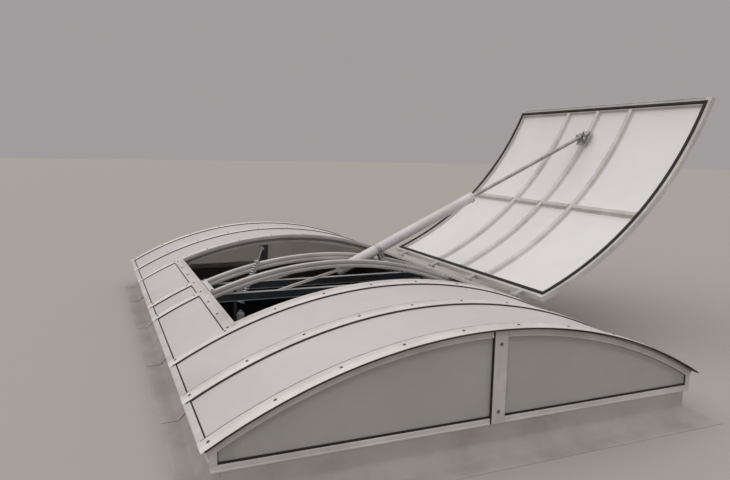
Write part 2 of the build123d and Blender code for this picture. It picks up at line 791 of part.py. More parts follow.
with BuildPart() as cradle:
    across(bush_r, trunnion_x, trunnion_z, -cradle_w / 2, cradle_w / 2)
    cylinder_box(-web_w / 2, web_w / 2, 0, tube_offset, cradle_w / 2)
    along_cylinder(tube_r + clamp_margin, -clamp_l / 2, clamp_l / 2)
    along_cylinder(tube_r, -clamp_l, clamp_l, Mode.SUBTRACT)
    across(shaft_r + shaft_run, trunnion_x, trunnion_z, -cradle_w, cradle_w, Mode.SUBTRACT)
save(cradle, "cradle")

tube_bore = tube_r - tube_wall
with BuildPart() as tube:
    along_cylinder(tube_r, -tube_tail, tube_head)
    along_cylinder(tube_bore, cap_l - tube_tail, tube_head, Mode.SUBTRACT)
save(tube, "cylinder_tube")
with BuildPart() as gland:
    along_cylinder(gland_r, tube_head, tube_head + gland_out)
    along_cylinder(tube_bore, tube_head - gland_in, tube_head)
    along_cylinder(rod_r + rod_run, tube_head - gland_in, tube_head + gland_out, Mode.SUBTRACT)
save(gland, "gland")
with BuildPart() as rod:
    piston = tube_head - gland_in - piston_gap - piston_l
    along_cylinder(tube_bore - rod_run, piston, piston + piston_l)
    along_cylinder(rod_r, piston + piston_l, rod_pin - eye_neck_l)
save(rod, "rod")
with BuildPart() as rod_eye:
    px, pz = on_cylinder(rod_pin)
    along_cylinder(eye_neck_r, rod_pin - eye_neck_l, rod_pin)
    across(eye_r, px, pz, -eye_w / 2, eye_w / 2)
    across(rod_pin_r, px, pz, -rod_pin_half, rod_pin_half)
    for s in (-1, 1):
        across(washer_r, px, pz, *sorted((s * rod_pin_half, s * (rod_pin_half - washer_t))))
save(rod_eye, "rod_eye")


# Saddle on the middle rib that the rod's pin pushes against, open on its inner side
shut_x, shut_z = swung(px, pz, open_angle)
pin_a = degrees(atan2(shut_x, shut_z - axis_z))
outward = (sin(radians(pin_a)), cos(radians(pin_a)))
to_hinge = (outward[1], -outward[0])


def from_pin(out, hinge):
    """Point on the shut flap, measured outwards and towards the hinge from the rod's pin."""
    return (shut_x + out * outward[0] + hinge * to_hinge[0], shut_z + out * outward[1] + hinge * to_hinge[1])


with BuildPart() as saddle:
    base_in_r = rib_in_r - saddle_base_t
    ear_out_y = saddle_ear_y + saddle_ear_t
    half = turn_of(saddle_l / 2)
    band(base_in_r, rib_in_r, pin_a - half, pin_a + half, -ear_out_y, ear_out_y, flap_section)
    half = turn_of(saddle_ear_l / 2)
    for s in (-1, 1):
        ys = sorted((s * saddle_ear_y, s * ear_out_y))
        band(pin_r - saddle_lip, base_in_r, pin_a - half, pin_a + half, *ys, flap_section)
    notch = rod_pin_r + saddle_run
    t0, t1 = (radians(t) for t in saddle_mouth)
    far = saddle_l
    first = from_pin(-notch * sin(t0), -notch * cos(t0))
    last = from_pin(notch * sin(t1), notch * cos(t1))
    with BuildSketch(flap_section(ear_out_y)) as face:
        with Locations((shut_x, shut_z)):
            Circle(notch)
        with BuildLine():
            outline = [
                first,
                from_pin(-notch * sin(t0) - far * cos(t0), far * sin(t0) - notch * cos(t0)),
                from_pin(-far * (cos(t0) + cos(t1)), far * (sin(t0) + sin(t1))),
                from_pin(notch * sin(t1) - far * cos(t1), notch * cos(t1) + far * sin(t1)),
                last,
                (shut_x, shut_z),
            ]
            Polyline(*outline, close=True)
        make_face()
    extrude(face.sketch, amount=2 * ear_out_y, mode=Mode.SUBTRACT)
save(saddle, "rod_saddle")


# Lift spring on its guide, with the plunger that it pushes up
spring_foot_z = channel_z - spring_foot_drop
lean = (sin(radians(spring_lean)), cos(radians(spring_lean)))


def on_spring(t):
    """Plane square to the spring's axis, t above the guide's foot."""
    origin = (spring_foot_x + t * lean[0], spring_y, spring_foot_z + t * lean[1])
    return Plane(origin=origin, x_dir=(0, 1, 0), z_dir=(lean[0], 0, lean[1]))


def along_spring(radius, t0, t1, mode=Mode.ADD):
    """Round bar on the spring's axis."""
    with BuildSketch(on_spring(t0)) as face:
        Circle(radius)
    extrude(face.sketch, amount=t1 - t0, mode=mode)


with BuildPart() as guide:
    wall = twin_y - arch_w / 2
    along_spring(guide_foot_r, -guide_foot_t, 0)
    with BuildSketch(on_spring(-guide_foot_t)) as face:
        with Locations(((wall - spring_y) / 2, 0)):
            Rectangle(wall - spring_y, guide_arm_w)
    extrude(face.sketch, amount=guide_foot_t)
    half = guide_arm_w / 2
    low = channel_z - guide_web_drop
    slab(spring_foot_x - half, spring_foot_x + half, wall - guide_web_t, wall, low, channel_top)
    along_spring(guide_r, 0, guide_l)
    along_spring(guide_bore, -2 * guide_foot_t, guide_l, Mode.SUBTRACT)
save(guide, "spring_guide")
plunger_tip = spring_l + plunger_rise
with BuildPart() as plunger:
    along_spring(plunger_r, plunger_start, plunger_tip)
    along_spring(plunger_cap_r, spring_l, spring_l + plunger_cap_t)
    with Locations(on_spring(plunger_tip)):
        Sphere(plunger_ball_r)
save(plunger, "plunger")
with BuildPart() as spring:
    ring_r = spring_r - spring_wire / 2
    along_spring(ring_r, 0, spring_l)
    for i in range(int(spring_l / spring_pitch)):
        with Locations(on_spring(spring_wire / 2 + i * spring_pitch)):
            Torus(ring_r, spring_wire / 2)
    along_spring(ring_r - spring_core, 0, spring_l, Mode.SUBTRACT)
save(spring, "lift_spring")
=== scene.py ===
import json
from math import asin, atan2, copysign, cos, pi, radians, sin, sqrt

import bmesh
import bpy
from mathutils import Matrix, Vector, noise


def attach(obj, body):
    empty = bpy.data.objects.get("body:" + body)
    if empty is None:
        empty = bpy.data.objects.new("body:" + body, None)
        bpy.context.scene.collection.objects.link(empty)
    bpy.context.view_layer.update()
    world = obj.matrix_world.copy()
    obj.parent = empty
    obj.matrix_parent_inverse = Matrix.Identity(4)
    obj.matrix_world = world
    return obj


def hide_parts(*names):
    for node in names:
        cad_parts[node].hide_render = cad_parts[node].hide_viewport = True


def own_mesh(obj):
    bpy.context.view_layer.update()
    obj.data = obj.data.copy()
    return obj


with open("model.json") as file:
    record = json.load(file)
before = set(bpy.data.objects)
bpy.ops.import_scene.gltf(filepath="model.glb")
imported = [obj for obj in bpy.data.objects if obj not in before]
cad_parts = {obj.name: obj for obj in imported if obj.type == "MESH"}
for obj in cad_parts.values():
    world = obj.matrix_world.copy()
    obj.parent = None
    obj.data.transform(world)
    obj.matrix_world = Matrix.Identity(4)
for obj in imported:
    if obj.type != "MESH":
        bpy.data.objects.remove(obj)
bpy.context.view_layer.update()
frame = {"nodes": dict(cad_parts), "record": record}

scene = bpy.context.scene
scene.view_settings.view_transform = "Standard"

# Sizes of the skylight in metres, as in the part's source
half_w = 1.450
vault_rise = 0.398
tip_z = 0.275
twin_y = 0.1935
opening_x = 1.045
opening_y = 1.2535
side_y = 1.838
gable_y = 2.3935
gable_face = 2.410
gable_back = 2.388
sheet_face = 2.404
kerb_x = 1.357
kerb_wall = 0.060
kerb_top = 0.162
sill_top = 0.197
eave_face = 1.405
strip_half = 0.050
strip_t = 0.004
gasket_t = 0.005
sheet_t = 0.016
arch_d = 0.060
arch_half = 0.0225
stem_half = 0.008
head_drop = 0.015
rim_w = 0.012
lip_h = 0.008
lip_w = 0.025
lip_back = 0.060
seal_gap = 0.0005
seal_h = 0.0135
flap_frame_d = 0.042
flap_frame_in = 0.022
flap_frame_out = 0.044
panel_inset = 0.004
panel_t = 0.010
rib_d = 0.034
eave_inset = 0.035
seat_w = 0.090
profile_w = 0.077
hinge_rise = 0.0283
hinge_out = 0.0664
hinge_places = (-0.996, -0.332, 0.332, 0.996)
open_angle = radians(135.8)

# Radii of the vault's layers about its own axis
strip_r = (half_w**2 + vault_rise**2) / (2 * vault_rise)
axis_z = tip_z + vault_rise - strip_r
gasket_r = strip_r - strip_t
sheet_r = gasket_r - gasket_t
arch_r = sheet_r - sheet_t
arch_in_r = arch_r - arch_d
head_r = arch_r - head_drop
rim_in_r = head_r - rim_w
lip_r = strip_r + lip_h
seal_r = lip_r + seal_gap
frame_r = seal_r + seal_h
frame_out_r = frame_r + flap_frame_d
panel_r = frame_out_r - panel_inset
rib_out_r = panel_r - panel_t
rib_in_r = rib_out_r - rib_d
hinge_r = strip_r + hinge_rise


def at_x(x, r=strip_r):
    """Angle from the crown of the point of radius r that lies at x."""
    return asin(x / r)


# Angles from the crown, and places along Y
tip_a = at_x(half_w)
eave_a = at_x(half_w - eave_inset)
seat_a = eave_a - seat_w / strip_r
edge_a = at_x(opening_x)
profile_a = edge_a + profile_w / strip_r
lip_a = edge_a + lip_w / strip_r
seal_a = edge_a + lip_w / 2 / strip_r
flap_in_a = seal_a - flap_frame_in / strip_r
flap_out_a = seal_a + flap_frame_out / strip_r
hinge_a = flap_out_a + hinge_out / strip_r
lip_y0 = opening_y - lip_back
lip_y1 = lip_y0 + lip_w
seal_y = (lip_y0 + lip_y1) / 2
flap_in_y = seal_y - flap_frame_in
flap_out_y = seal_y + flap_frame_out


def skin(r, a, y=0.0):
    """Point on the vault at radius r and angle a from the crown."""
    return Vector((r * sin(a), y, axis_z + r * cos(a)))


hinge = skin(hinge_r, hinge_a)
swung_open = Matrix.Translation(hinge) @ Matrix.Rotation(open_angle, 4, "Y") @ Matrix.Translation(-hinge)


# Camera at the photograph's place, found from the vault's straight and curved edges
camera_place = (-1.829, -5.0175, 1.5415)
camera_turns = (23.222, 7.995, 1.169)
camera_lens = 31.63


def aim_camera():
    """Camera that looks along Y, turned right by the yaw, down by the pitch and round by the roll."""
    yaw, pitch, roll = (radians(turn) for turn in camera_turns)
    ahead = Vector((sin(yaw) * cos(pitch), cos(yaw) * cos(pitch), -sin(pitch)))
    level = Vector((cos(yaw), -sin(yaw), 0))
    upright = level.cross(ahead)
    right = level * cos(roll) + upright * sin(roll)
    up = upright * cos(roll) - level * sin(roll)
    camera = bpy.data.objects.new("camera", bpy.data.cameras.new("camera"))
    camera.data.sensor_width = 36.0
    camera.data.lens = camera_lens
    camera.data.clip_end = 400.0
    turn = Matrix((right, up, -ahead)).transposed().to_4x4()
    camera.matrix_world = Matrix.Translation(camera_place) @ turn
    scene.collection.objects.link(camera)
    scene.camera = camera


aim_camera()


# Finishes
def linear(colour):
    """sRGB hex value as linear red, green, blue and alpha."""
    parts = [int(colour[i:i + 2], 16) / 255 for i in (1, 3, 5)]
    return [p / 12.92 if p <= 0.04045 else ((p + 0.055) / 1.055) ** 2.4 for p in parts] + [1.0]


def add(tree, kind, settings=None, links=None):
    """Adds one node, sets its sockets or properties and links its inputs."""
    made = tree.nodes.new(kind)
    for key, value in (settings or {}).items():
        if isinstance(key, int) or key in made.inputs:
            made.inputs[key].default_value = value
        else:
            setattr(made, key, value)
    for key, source in (links or {}).items():
        tree.links.new(source, made.inputs[key])
    return made


# What all finishes share: the soft edge and the roughness of their patches, the share of the
# crystals' tint, the swing of the gloss, and the length after which a wave of scale 1 repeats
patch_edge = 0.12
cloud_roughness = 0.62
crystal_share = 0.35
gloss_down = 0.06
gloss_up = 0.10
wave_length = 0.31416

finishes = {}


def finish(name, clean, worn, metallic, roughness, patch, grain, relief, share=0.5, **more):
    """Finish of two colours in cloudy patches, with a fine grain in its relief."""
    made = bpy.data.materials.new(name)
    made.use_nodes = True
    tree = made.node_tree
    shader = tree.nodes["Principled BSDF"]
    place = add(tree, "ShaderNodeTexCoord").outputs["Object"]
    cloudy = {"Scale": 1 / patch, "Detail": 6.0, "Roughness": cloud_roughness}
    clouds = add(tree, "ShaderNodeTexNoise", cloudy, {"Vector": place}).outputs["Fac"]
    edge = {"From Min": share - patch_edge, "From Max": share + patch_edge}
    wear = add(tree, "ShaderNodeMapRange", edge, {"Value": clouds}).outputs[0]
    colours = {"Color1": linear(clean), "Color2": linear(worn)}
    colour = add(tree, "ShaderNodeMixRGB", colours, {"Fac": wear}).outputs[0]
    grainy = {"Scale": 1 / grain, "Detail": 3.0}
    height = add(tree, "ShaderNodeTexNoise", grainy, {"Vector": place}).outputs["Fac"]
    for direction, pitch, depth, line in more.get("lines", ()):
        # Fine lines across the piece, such as the flutes of a hollow sheet
        bands = {"bands_direction": direction, "Scale": wave_length / pitch}
        wave = add(tree, "ShaderNodeTexWave", bands, {"Vector": place}).outputs["Fac"]
        shade = add(tree, "ShaderNodeMapRange", {"To Min": 0.0, "To Max": depth}, {"Value": wave})
        colour = add(tree, "ShaderNodeMixRGB", {"Color2": linear(line)},
                     {"Fac": shade.outputs[0], "Color1": colour}).outputs[0]
        height = add(tree, "ShaderNodeMath", {"operation": "ADD"}, {0: height, 1: wave}).outputs[0]
    if "cells" in more:
        # Crystals of the zinc, each with a grey of its own
        size, tint = more["cells"]
        cells = add(tree, "ShaderNodeTexVoronoi", {"Scale": 1 / size}, {"Vector": place}).outputs["Color"]
        grey = add(tree, "ShaderNodeRGBToBW", links={"Color": cells}).outputs[0]
        part = add(tree, "ShaderNodeMapRange", {"To Max": crystal_share}, {"Value": grey})
        colour = add(tree, "ShaderNodeMixRGB", {"Color2": linear(tint)},
                     {"Fac": part.outputs[0], "Color1": colour}).outputs[0]
    for low, high, tint, depth in more.get("rising", ()):
        # Splash and dust settle between two heights, broken up by the clouds
        level = add(tree, "ShaderNodeSeparateXYZ", links={"Vector": place}).outputs["Z"]
        heights = {"From Min": high, "From Max": low, "To Max": depth}
        fade = add(tree, "ShaderNodeMapRange", heights, {"Value": level}).outputs[0]
        broken = add(tree, "ShaderNodeMath", {"operation": "MULTIPLY"}, {0: fade, 1: clouds})
        colour = add(tree, "ShaderNodeMixRGB", {"Color2": linear(tint)},
                     {"Fac": broken.outputs[0], "Color1": colour}).outputs[0]
    spans = {"To Min": roughness - gloss_down, "To Max": min(roughness + gloss_up, 1.0)}
    gloss = add(tree, "ShaderNodeMapRange", spans, {"Value": clouds}).outputs[0]
    bump = add(tree, "ShaderNodeBump", {"Strength": relief, "Distance": grain}, {"Height": height})
    tree.links.new(colour, shader.inputs["Base Color"])
    tree.links.new(gloss, shader.inputs["Roughness"])
    tree.links.new(bump.outputs["Normal"], shader.inputs["Normal"])
    shader.inputs["Metallic"].default_value = metallic
    if not metallic:
        shader.inputs["IOR"].default_value = more.get("ior", 1.5)
    shader.inputs["Transmission Weight"].default_value = more.get("clear", 0.0)
    finishes[name] = made


# Opal polycarbonate, extruded with hollow flutes 16 mm apart: milky and matt, flutes faint, a film
# of dust at the eaves. Part of the light passes, so a gable glows from inside and looks grey outside
flute = 0.016
finish("vault_sheet", "#E3DFDD", "#DCD7D5", 0, 0.42, 0.60, 0.004, 0.05, ior=1.58, clear=0.20,
       lines=(("Y", flute, 0.05, "#B4AEAB"),), rising=((0.28, 0.50, "#B9ABA4", 0.35),))
finish("gable_sheet", "#F0EEE9", "#E8E6E0", 0, 0.42, 0.60, 0.004, 0.05, ior=1.58, clear=0.58,
       lines=(("X", flute, 0.04, "#A8A69F"),))
finish("flap_sheet", "#F0EDEC", "#EBE8E6", 0, 0.42, 0.60, 0.004, 0.04, ior=1.58, clear=0.12,
       lines=(("Y", flute, 0.04, "#D2CDCA"),))
# Extruded aluminium left as it came from the mill, chalked by weather: dull, pale, half its metal
# lustre gone. The cover strips, rained clean, are a little lighter
finish("mill_aluminium", "#D6D2CE", "#C3BEB9", 0.25, 0.50, 0.30, 0.002, 0.05)
finish("cover_strip", "#E6E2DE", "#D6D1CD", 0.25, 0.46, 0.40, 0.002, 0.04)
# Galvanised sheet steel, hot dipped: pale zinc with its crystal pattern, drawn twice as coarse so
# that it shows. Inside the kerb the zinc is painted dark grey: painted shade for the shaded inside of the
# kerb
finish("galvanised", "#C0BFBC", "#A6A5A2", 0.45, 0.42, 0.08, 0.002, 0.05, cells=(0.012, "#D0D1D0"))
finish("kerb_steel", "#787876", "#656563", 0.40, 0.50, 0.30, 0.002, 0.05, cells=(0.020, "#8A8B8A"))
# Mineral-faced roofing felt: fine grit, mottled, washed darker where water stands at its foot
finish("roofing_membrane", "#B0A9A3", "#A29A94", 0, 0.85, 0.35, 0.003, 0.35, share=0.55,
       rising=((0.0, 0.07, "#7C746C", 0.28),))
# Cured rubber seals: black, matt, greyed a little by dust
finish("black_seal", "#161312", "#221F1D", 0, 0.70, 0.05, 0.002, 0.12, ior=1.52)
# Zinc-plated steel screws, darkened by weather: small dull spots on the pale bars
finish("fastener", "#85817D", "#6A6662", 0.60, 0.45, 0.012, 0.001, 0.10)
# Stove-enamelled steel channel: blue-black with dust on it
finish("dark_channel", "#222C33", "#33393C", 0, 0.45, 0.15, 0.002, 0.08)
# Die-cast valve body: grey enamel, faint orange peel
finish("valve_grey", "#8E8E8C", "#7C7C7A", 0, 0.40, 0.03, 0.003, 0.15)
# Drawn spring wire, zinc plated: light, with a soft shine on each turn
finish("spring_steel", "#DAD7D3", "#BDB9B5", 0.45, 0.35, 0.02, 0.001, 0.08)
# Cylinder tube of steel in sprayed grey enamel: pale and satin, clouded a little by dust
finish("cylinder_grey", "#D9D4D6", "#C9C4C5", 0, 0.38, 0.20, 0.002, 0.05)
# Ground steel rod: smooth, darker, a trace of grease
finish("rod_steel", "#A9A4A3", "#8F8A89", 0.80, 0.30, 0.06, 0.001, 0.03)

slots = {part["node"]: part["material_slot"] for part in frame["record"]["subparts"]}
for node_name, node_object in frame["nodes"].items():
    node_object.data.materials.clear()
    node_object.data.materials.append(finishes[slots[node_name]])


# Shapes: each one is a closed bmesh, joined into pieces below
soft_edge = 0.0015


def rounded_face(points, radius):
    """Flat face through the points, with its corners rounded."""
    shape = bmesh.new()
    shape.faces.new([shape.verts.new(p) for p in points])
    if radius:
        bmesh.ops.bevel(shape, geom=shape.verts[:], offset=radius, offset_type="OFFSET", affect="VERTICES",
                        clamp_overlap=True, segments=2, profile=0.5, material=-1)
    return shape


def arched(outline, a0, a1, radius=soft_edge, step=radians(2)):
    """Bar bent round the vault from angle a0 to a1; its outline is in places along Y and radii."""
    shape = rounded_face([skin(r, a0, y) for y, r in outline], radius)
    whole = shape.faces[:] + shape.edges[:] + shape.verts[:]
    steps = max(2, round((a1 - a0) / step))
    bmesh.ops.spin(shape, geom=whole, cent=(0, 0, axis_z), axis=(0, 1, 0), angle=a1 - a0,
                   steps=steps)
    bmesh.ops.recalc_face_normals(shape, faces=shape.faces[:])
    return shape


def drawn(points, reach, radius=soft_edge):
    """Straight bar: a flat outline of points in space, drawn out by a vector."""
    shape = rounded_face(points, radius)
    far = bmesh.ops.extrude_face_region(shape, geom=shape.faces[:])["geom"]
    moved = [v for v in far if isinstance(v, bmesh.types.BMVert)]
    bmesh.ops.translate(shape, vec=reach, verts=moved)
    bmesh.ops.recalc_face_normals(shape, faces=shape.faces[:])
    return shape


def along_y(outline, y0, y1, radius=soft_edge):
    """Straight bar along Y; its outline is in X and Z."""
    return drawn([(x, y0, z) for x, z in outline], (0, y1 - y0, 0), radius)


def along_x(outline, x0, x1, radius=soft_edge):
    """Straight bar along X; its outline is in Y and Z."""
    return drawn([(x0, y, z) for y, z in outline], (x1 - x0, 0, 0), radius)


def turned(profile, origin, axis, sides=24):
    """Round part turned from places along an axis and radii."""
    axis = Vector(axis).normalized()
    side = axis.orthogonal().normalized()
    origin = Vector(origin)
    shape = bmesh.new()
    line = [shape.verts.new(origin + axis * s + side * r) for s, r in profile]
    edges = [shape.edges.new(pair) for pair in zip(line, line[1:])]
    bmesh.ops.spin(shape, geom=line + edges, cent=origin, axis=axis, angle=2 * pi, steps=sides,
                   use_merge=True)
    bmesh.ops.remove_doubles(shape, verts=shape.verts[:], dist=1e-6)
    bmesh.ops.recalc_face_normals(shape, faces=shape.faces[:])
    return shape


def block(low, high, radius=soft_edge):
    """Box between two corners with its edges eased."""
    low, high = Vector(low), Vector(high)
    shape = bmesh.new()
    bmesh.ops.create_cube(shape, size=1.0)
    bmesh.ops.scale(shape, vec=high - low, verts=shape.verts[:])
    bmesh.ops.translate(shape, vec=(low + high) / 2, verts=shape.verts[:])
    if radius:
        bmesh.ops.bevel(shape, geom=shape.edges[:], offset=radius, affect="EDGES", segments=2, profile=0.5,
                        clamp_overlap=True, material=-1)
    return shape


def bolt(origin, normal, radius=0.0075, height=0.005, washer=0.0105):
    """Hexagon head on its washer."""
    normal = Vector(normal).normalized()
    turn = Vector((0, 0, 1)).rotation_difference(normal).to_matrix().to_4x4()
    stand = Matrix.Translation(origin) @ turn
    shape = bmesh.new()
    rise = 0.3 * height
    bmesh.ops.create_cone(shape, cap_ends=True, segments=12, radius1=washer, radius2=0.85 * washer,
                          depth=rise, matrix=stand @ Matrix.Translation((0, 0, rise / 2)))
    middle = (height + rise) / 2
    bmesh.ops.create_cone(shape, cap_ends=True, segments=6, radius1=radius, radius2=0.88 * radius,
                          depth=height - rise, matrix=stand @ Matrix.Translation((0, 0, middle)))
    return shape


def piece(name, slot, body, shapes, stands_for=(), turn=None, sharp=radians(32)):
    """One named piece joined from shapes, with its finish, riding on a body."""
    whole = bmesh.new()
    for shape in shapes:
        loose = bpy.data.meshes.new("loose")
        shape.to_mesh(loose)
        shape.free()
        whole.from_mesh(loose)
        bpy.data.meshes.remove(loose)
    if turn:
        whole.transform(turn)
    mesh = bpy.data.meshes.new(name)
    whole.to_mesh(mesh)
    whole.free()
    mesh.shade_smooth()
    mesh.set_sharp_from_angle(angle=sharp)
    mesh.materials.append(finishes[slot])
    made = bpy.data.objects.new(name, mesh)
    scene.collection.objects.link(made)
    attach(made, body)
    if stands_for:
        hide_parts(*stands_for)
    return made


both = (-1, 1)


def in_section(outline, s=1):
    """Places in X and Z of an outline given in angles and radii, on side s of the crown."""
    return [(p.x, p.z) for p in (skin(r, s * a) for a, r in outline)]


# Cover strips: flat bars with a shallow raised middle, over gaskets whose bead shows at each edge; the
# bead's black lip is drawn wider than the rubber, partly painted shade under the strip's edge
crown_half = 0.014
crown_rise = 0.0014
crown_slope = 0.003
edge_drop = 0.0004
bead_and_shadow_lip = 0.0125
outer_lip = 0.005
no_lip = 0.0002


def cover(y0, y1):
    """Section of a cover strip between two places along Y."""
    mid = (y0 + y1) / 2
    crown = min(crown_half, (y1 - y0) / 4)
    low, high = strip_r - edge_drop, strip_r + crown_rise
    return [
        (y0, gasket_r), (y0, low), (mid - crown - crown_slope, strip_r), (mid - crown, high),
        (mid + crown, high), (mid + crown + crown_slope, strip_r), (y1, low), (y1, gasket_r),
    ]


def bead(y0, y1, lip0=bead_and_shadow_lip, lip1=bead_and_shadow_lip):
    """Rubber under a strip that bulges out past its edges and hides them; its lip is drawn wider than the
    rubber, so its black is partly painted shade under the strip's edge.
    """
    top = strip_r - 0.0015
    tucked = 0.0004
    round_top, round_foot = top - 0.002, sheet_r + 0.003
    return [
        (y0 - 0.6 * lip0, sheet_r), (y0 - lip0, round_foot), (y0 - 0.9 * lip0, round_top),
        (y0 - 0.5 * lip0, top), (y0 + tucked, top), (y0 + tucked, gasket_r), (y1 - tucked, gasket_r),
        (y1 - tucked, top), (y1 + 0.5 * lip1, top), (y1 + 0.9 * lip1, round_top),
        (y1 + lip1, round_foot), (y1 + 0.6 * lip1, sheet_r),
    ]


def span(s, centre):
    """Both edges of the strip that lies over a centre line, on the front or rear side s."""
    return sorted((s * (centre - strip_half), s * (centre + strip_half)))


gasket_back = 0.016
gasket_end = tip_a - gasket_back / strip_r
thin = 0.0004
piece("end_cover_strips", "cover_strip", "base",
      [arched(cover(*span(s, gable_y)), -tip_a, tip_a, thin) for s in both], ["gable_strips"])
piece("side_cover_strips", "cover_strip", "base",
      [arched(cover(*span(s, side_y)), -tip_a, tip_a, thin) for s in both], ["side_strips"])
opening_spans = [sorted((s * lip_y1, s * (opening_y + strip_half))) for s in both]
piece("opening_cover_strips", "cover_strip", "base",
      [arched(cover(*ends), -tip_a, tip_a, thin) for ends in opening_spans], ["opening_strips"])
band_ends = ((-tip_a, -profile_a), (profile_a, tip_a))
piece("short_cover_strips", "cover_strip", "base",
      [arched(cover(*span(s, twin_y)), a0, a1, thin) for s in both for a0, a1 in band_ends], ["band_strips"])
beads = [arched(bead(*span(s, side_y)), -gasket_end, gasket_end, 0) for s in both]
for s, lips in zip(both, ((outer_lip, bead_and_shadow_lip), (bead_and_shadow_lip, outer_lip))):
    beads.append(arched(bead(*span(s, gable_y), *lips), -gasket_end, gasket_end, 0))
for ends, lips in zip(opening_spans, ((bead_and_shadow_lip, no_lip), (no_lip, bead_and_shadow_lip))):
    beads.append(arched(bead(*ends, *lips), -gasket_end, gasket_end, 0))
for s in both:
    beads.append(arched(bead(*span(s, twin_y)), -gasket_end, -profile_a, 0))
    beads.append(arched(bead(*span(s, twin_y)), profile_a, gasket_end, 0))
piece("strip_gasket_beads", "black_seal", "base", beads, ["strip_gaskets"])


# Screws with their washers: ten along each strip, eight along each side of the opening, one at each
# crossing of a tie plate and two in each mullion
strip_screws = 10
strip_screw_inset = 0.048
band_screw_inset = 0.030
profile_screws = 8
profile_screw_pitch = 0.345
tie_x = 1.010
tie_plate_t = 0.008
mullion_x = 0.050
mullion_groove = 0.0062
mullion_screw_heights = (0.228, 0.585)


def out_of_vault(a):
    """Direction straight out of the vault at an angle from the crown."""
    return (sin(a), 0, cos(a))


row_end = tip_a - strip_screw_inset / strip_r
row = [row_end * (2 * i / (strip_screws - 1) - 1) for i in range(strip_screws)]
band_screw_a = profile_a + band_screw_inset / strip_r
screws = []
for s in both:
    for y in (gable_y, side_y, opening_y):
        screws += [bolt(skin(strip_r, a, s * y), out_of_vault(a)) for a in row]
    for t in both:
        for a in (t * row_end, t * band_screw_a):
            screws.append(bolt(skin(strip_r, a, s * twin_y), out_of_vault(a)))
profile_mid = (lip_a + profile_a) / 2
for i in range(profile_screws):
    y = profile_screw_pitch * (i - (profile_screws - 1) / 2)
    for s in both:
        screws.append(bolt(skin(strip_r, s * profile_mid, y), out_of_vault(s * profile_mid)))
tie_a = at_x(tie_x, arch_r)
for s in both:
    for y in (-twin_y, twin_y):
        screws.append(bolt(skin(arch_r + tie_plate_t, s * tie_a, y), out_of_vault(s * tie_a)))
    for z in mullion_screw_heights:
        screws.append(bolt((mullion_x, s * (gable_face + mullion_groove), z), (0, s, 0)))
piece("screw_heads", "fastener", "base", screws, ["screws"])


# Arches: box sections with a slot in each side and a stem between the sheets
def box_outline(y):
    """Section of an arch whose middle lies at y, with a slot in each side."""
    slot_low, slot_high, slot_d = arch_in_r + 0.024, arch_in_r + 0.034, 0.003
    floor = arch_half - slot_d
    side = [(arch_half, arch_in_r), (arch_half, slot_low), (floor, slot_low + 0.001),
            (floor, slot_high - 0.001), (arch_half, slot_high), (arch_half, arch_r)]
    return [(y + h, r) for h, r in side] + [(y - h, r) for h, r in reversed(side)]


def stem_outline(y):
    """Section of the stem between two sheets."""
    y0, y1 = y - stem_half, y + stem_half
    return [(y0, arch_r), (y0, sheet_r), (y1, sheet_r), (y1, arch_r)]


for name, y in (("side_arch", side_y), ("opening_arch", opening_y)):
    bars = [arched(box_outline(s * y), -seat_a, seat_a, 0.003) for s in both]
    bars += [arched(stem_outline(s * y), -seat_a, seat_a, 0) for s in both]
    piece(name + "_bars", "mill_aluminium", "base", bars, [name + "es"])
bars = [arched(box_outline(s * twin_y), -seat_a, seat_a, 0.004) for s in both]
for s in both:
    for a0, a1 in ((-seat_a, -profile_a), (profile_a, seat_a)):
        bars.append(arched(stem_outline(s * twin_y), a0, a1, 0))
piece("twin_arch_bars", "mill_aluminium", "base", bars, ["twin_arches"])

head_a = at_x(eave_face, head_r)
bars = []
for s in both:
    bars.append(arched(box_outline(s * (gable_back - arch_half)), -seat_a, seat_a, 0.003))
    head = [(gable_back, head_r), (gable_face, head_r), (gable_face, sheet_r),
            (gable_y - stem_half, sheet_r), (gable_y - stem_half, arch_r), (gable_back, arch_r)]
    bars.append(arched([(s * y, r) for y, r in head], -head_a, head_a, 0.0006))
piece("end_arch_bars", "mill_aluminium", "base", bars, ["gable_arches"])


# Frame of the vent opening: an upstand with a bead on top, and a flat bar that takes the screws
bead_top = lip_r - 0.003
for name, s in (("opening_front", -1), ("opening_rear", 1)):
    upstand = [
        (lip_y0, arch_r - 0.002), (lip_y0, lip_r - 0.002), (lip_y0 + 0.002, lip_r), (lip_y0 + 0.009, lip_r),
        (lip_y0 + 0.011, bead_top), (lip_y1 - 0.005, bead_top), (lip_y1 - 0.002, strip_r + 0.003),
        (lip_y1, strip_r), (lip_y1, arch_r - 0.002),
    ]
    stem_y = opening_y - stem_half
    flat = [(lip_y1, arch_r), (lip_y1, sheet_r), (stem_y, sheet_r), (stem_y, arch_r)]
    shapes = [arched([(s * y, r) for y, r in upstand], -edge_a, edge_a, 0.0008)]
    shapes.append(arched([(s * y, r) for y, r in flat], -profile_a, profile_a, 0))
    piece(name + "_bar", "mill_aluminium", "base", shapes, [name])
step_in = 0.004 / strip_r
for name, s in (("opening_left", -1), ("opening_right", 1)):
    outline = [
        (edge_a, arch_r), (edge_a, lip_r - 0.002), (edge_a + 0.5 * step_in, lip_r),
        (edge_a + 2.2 * step_in, lip_r), (edge_a + 2.7 * step_in, bead_top),
        (lip_a - 1.2 * step_in, bead_top), (lip_a - 0.5 * step_in, strip_r + 0.003), (lip_a, strip_r),
        (profile_a - 0.5 * step_in, strip_r), (profile_a, strip_r - 0.002), (profile_a, arch_r),
    ]
    bar = along_y(in_section(outline, s), -lip_y1, lip_y1, 0.0006)
    piece(name + "_bar", "mill_aluminium", "base", [bar], [name])


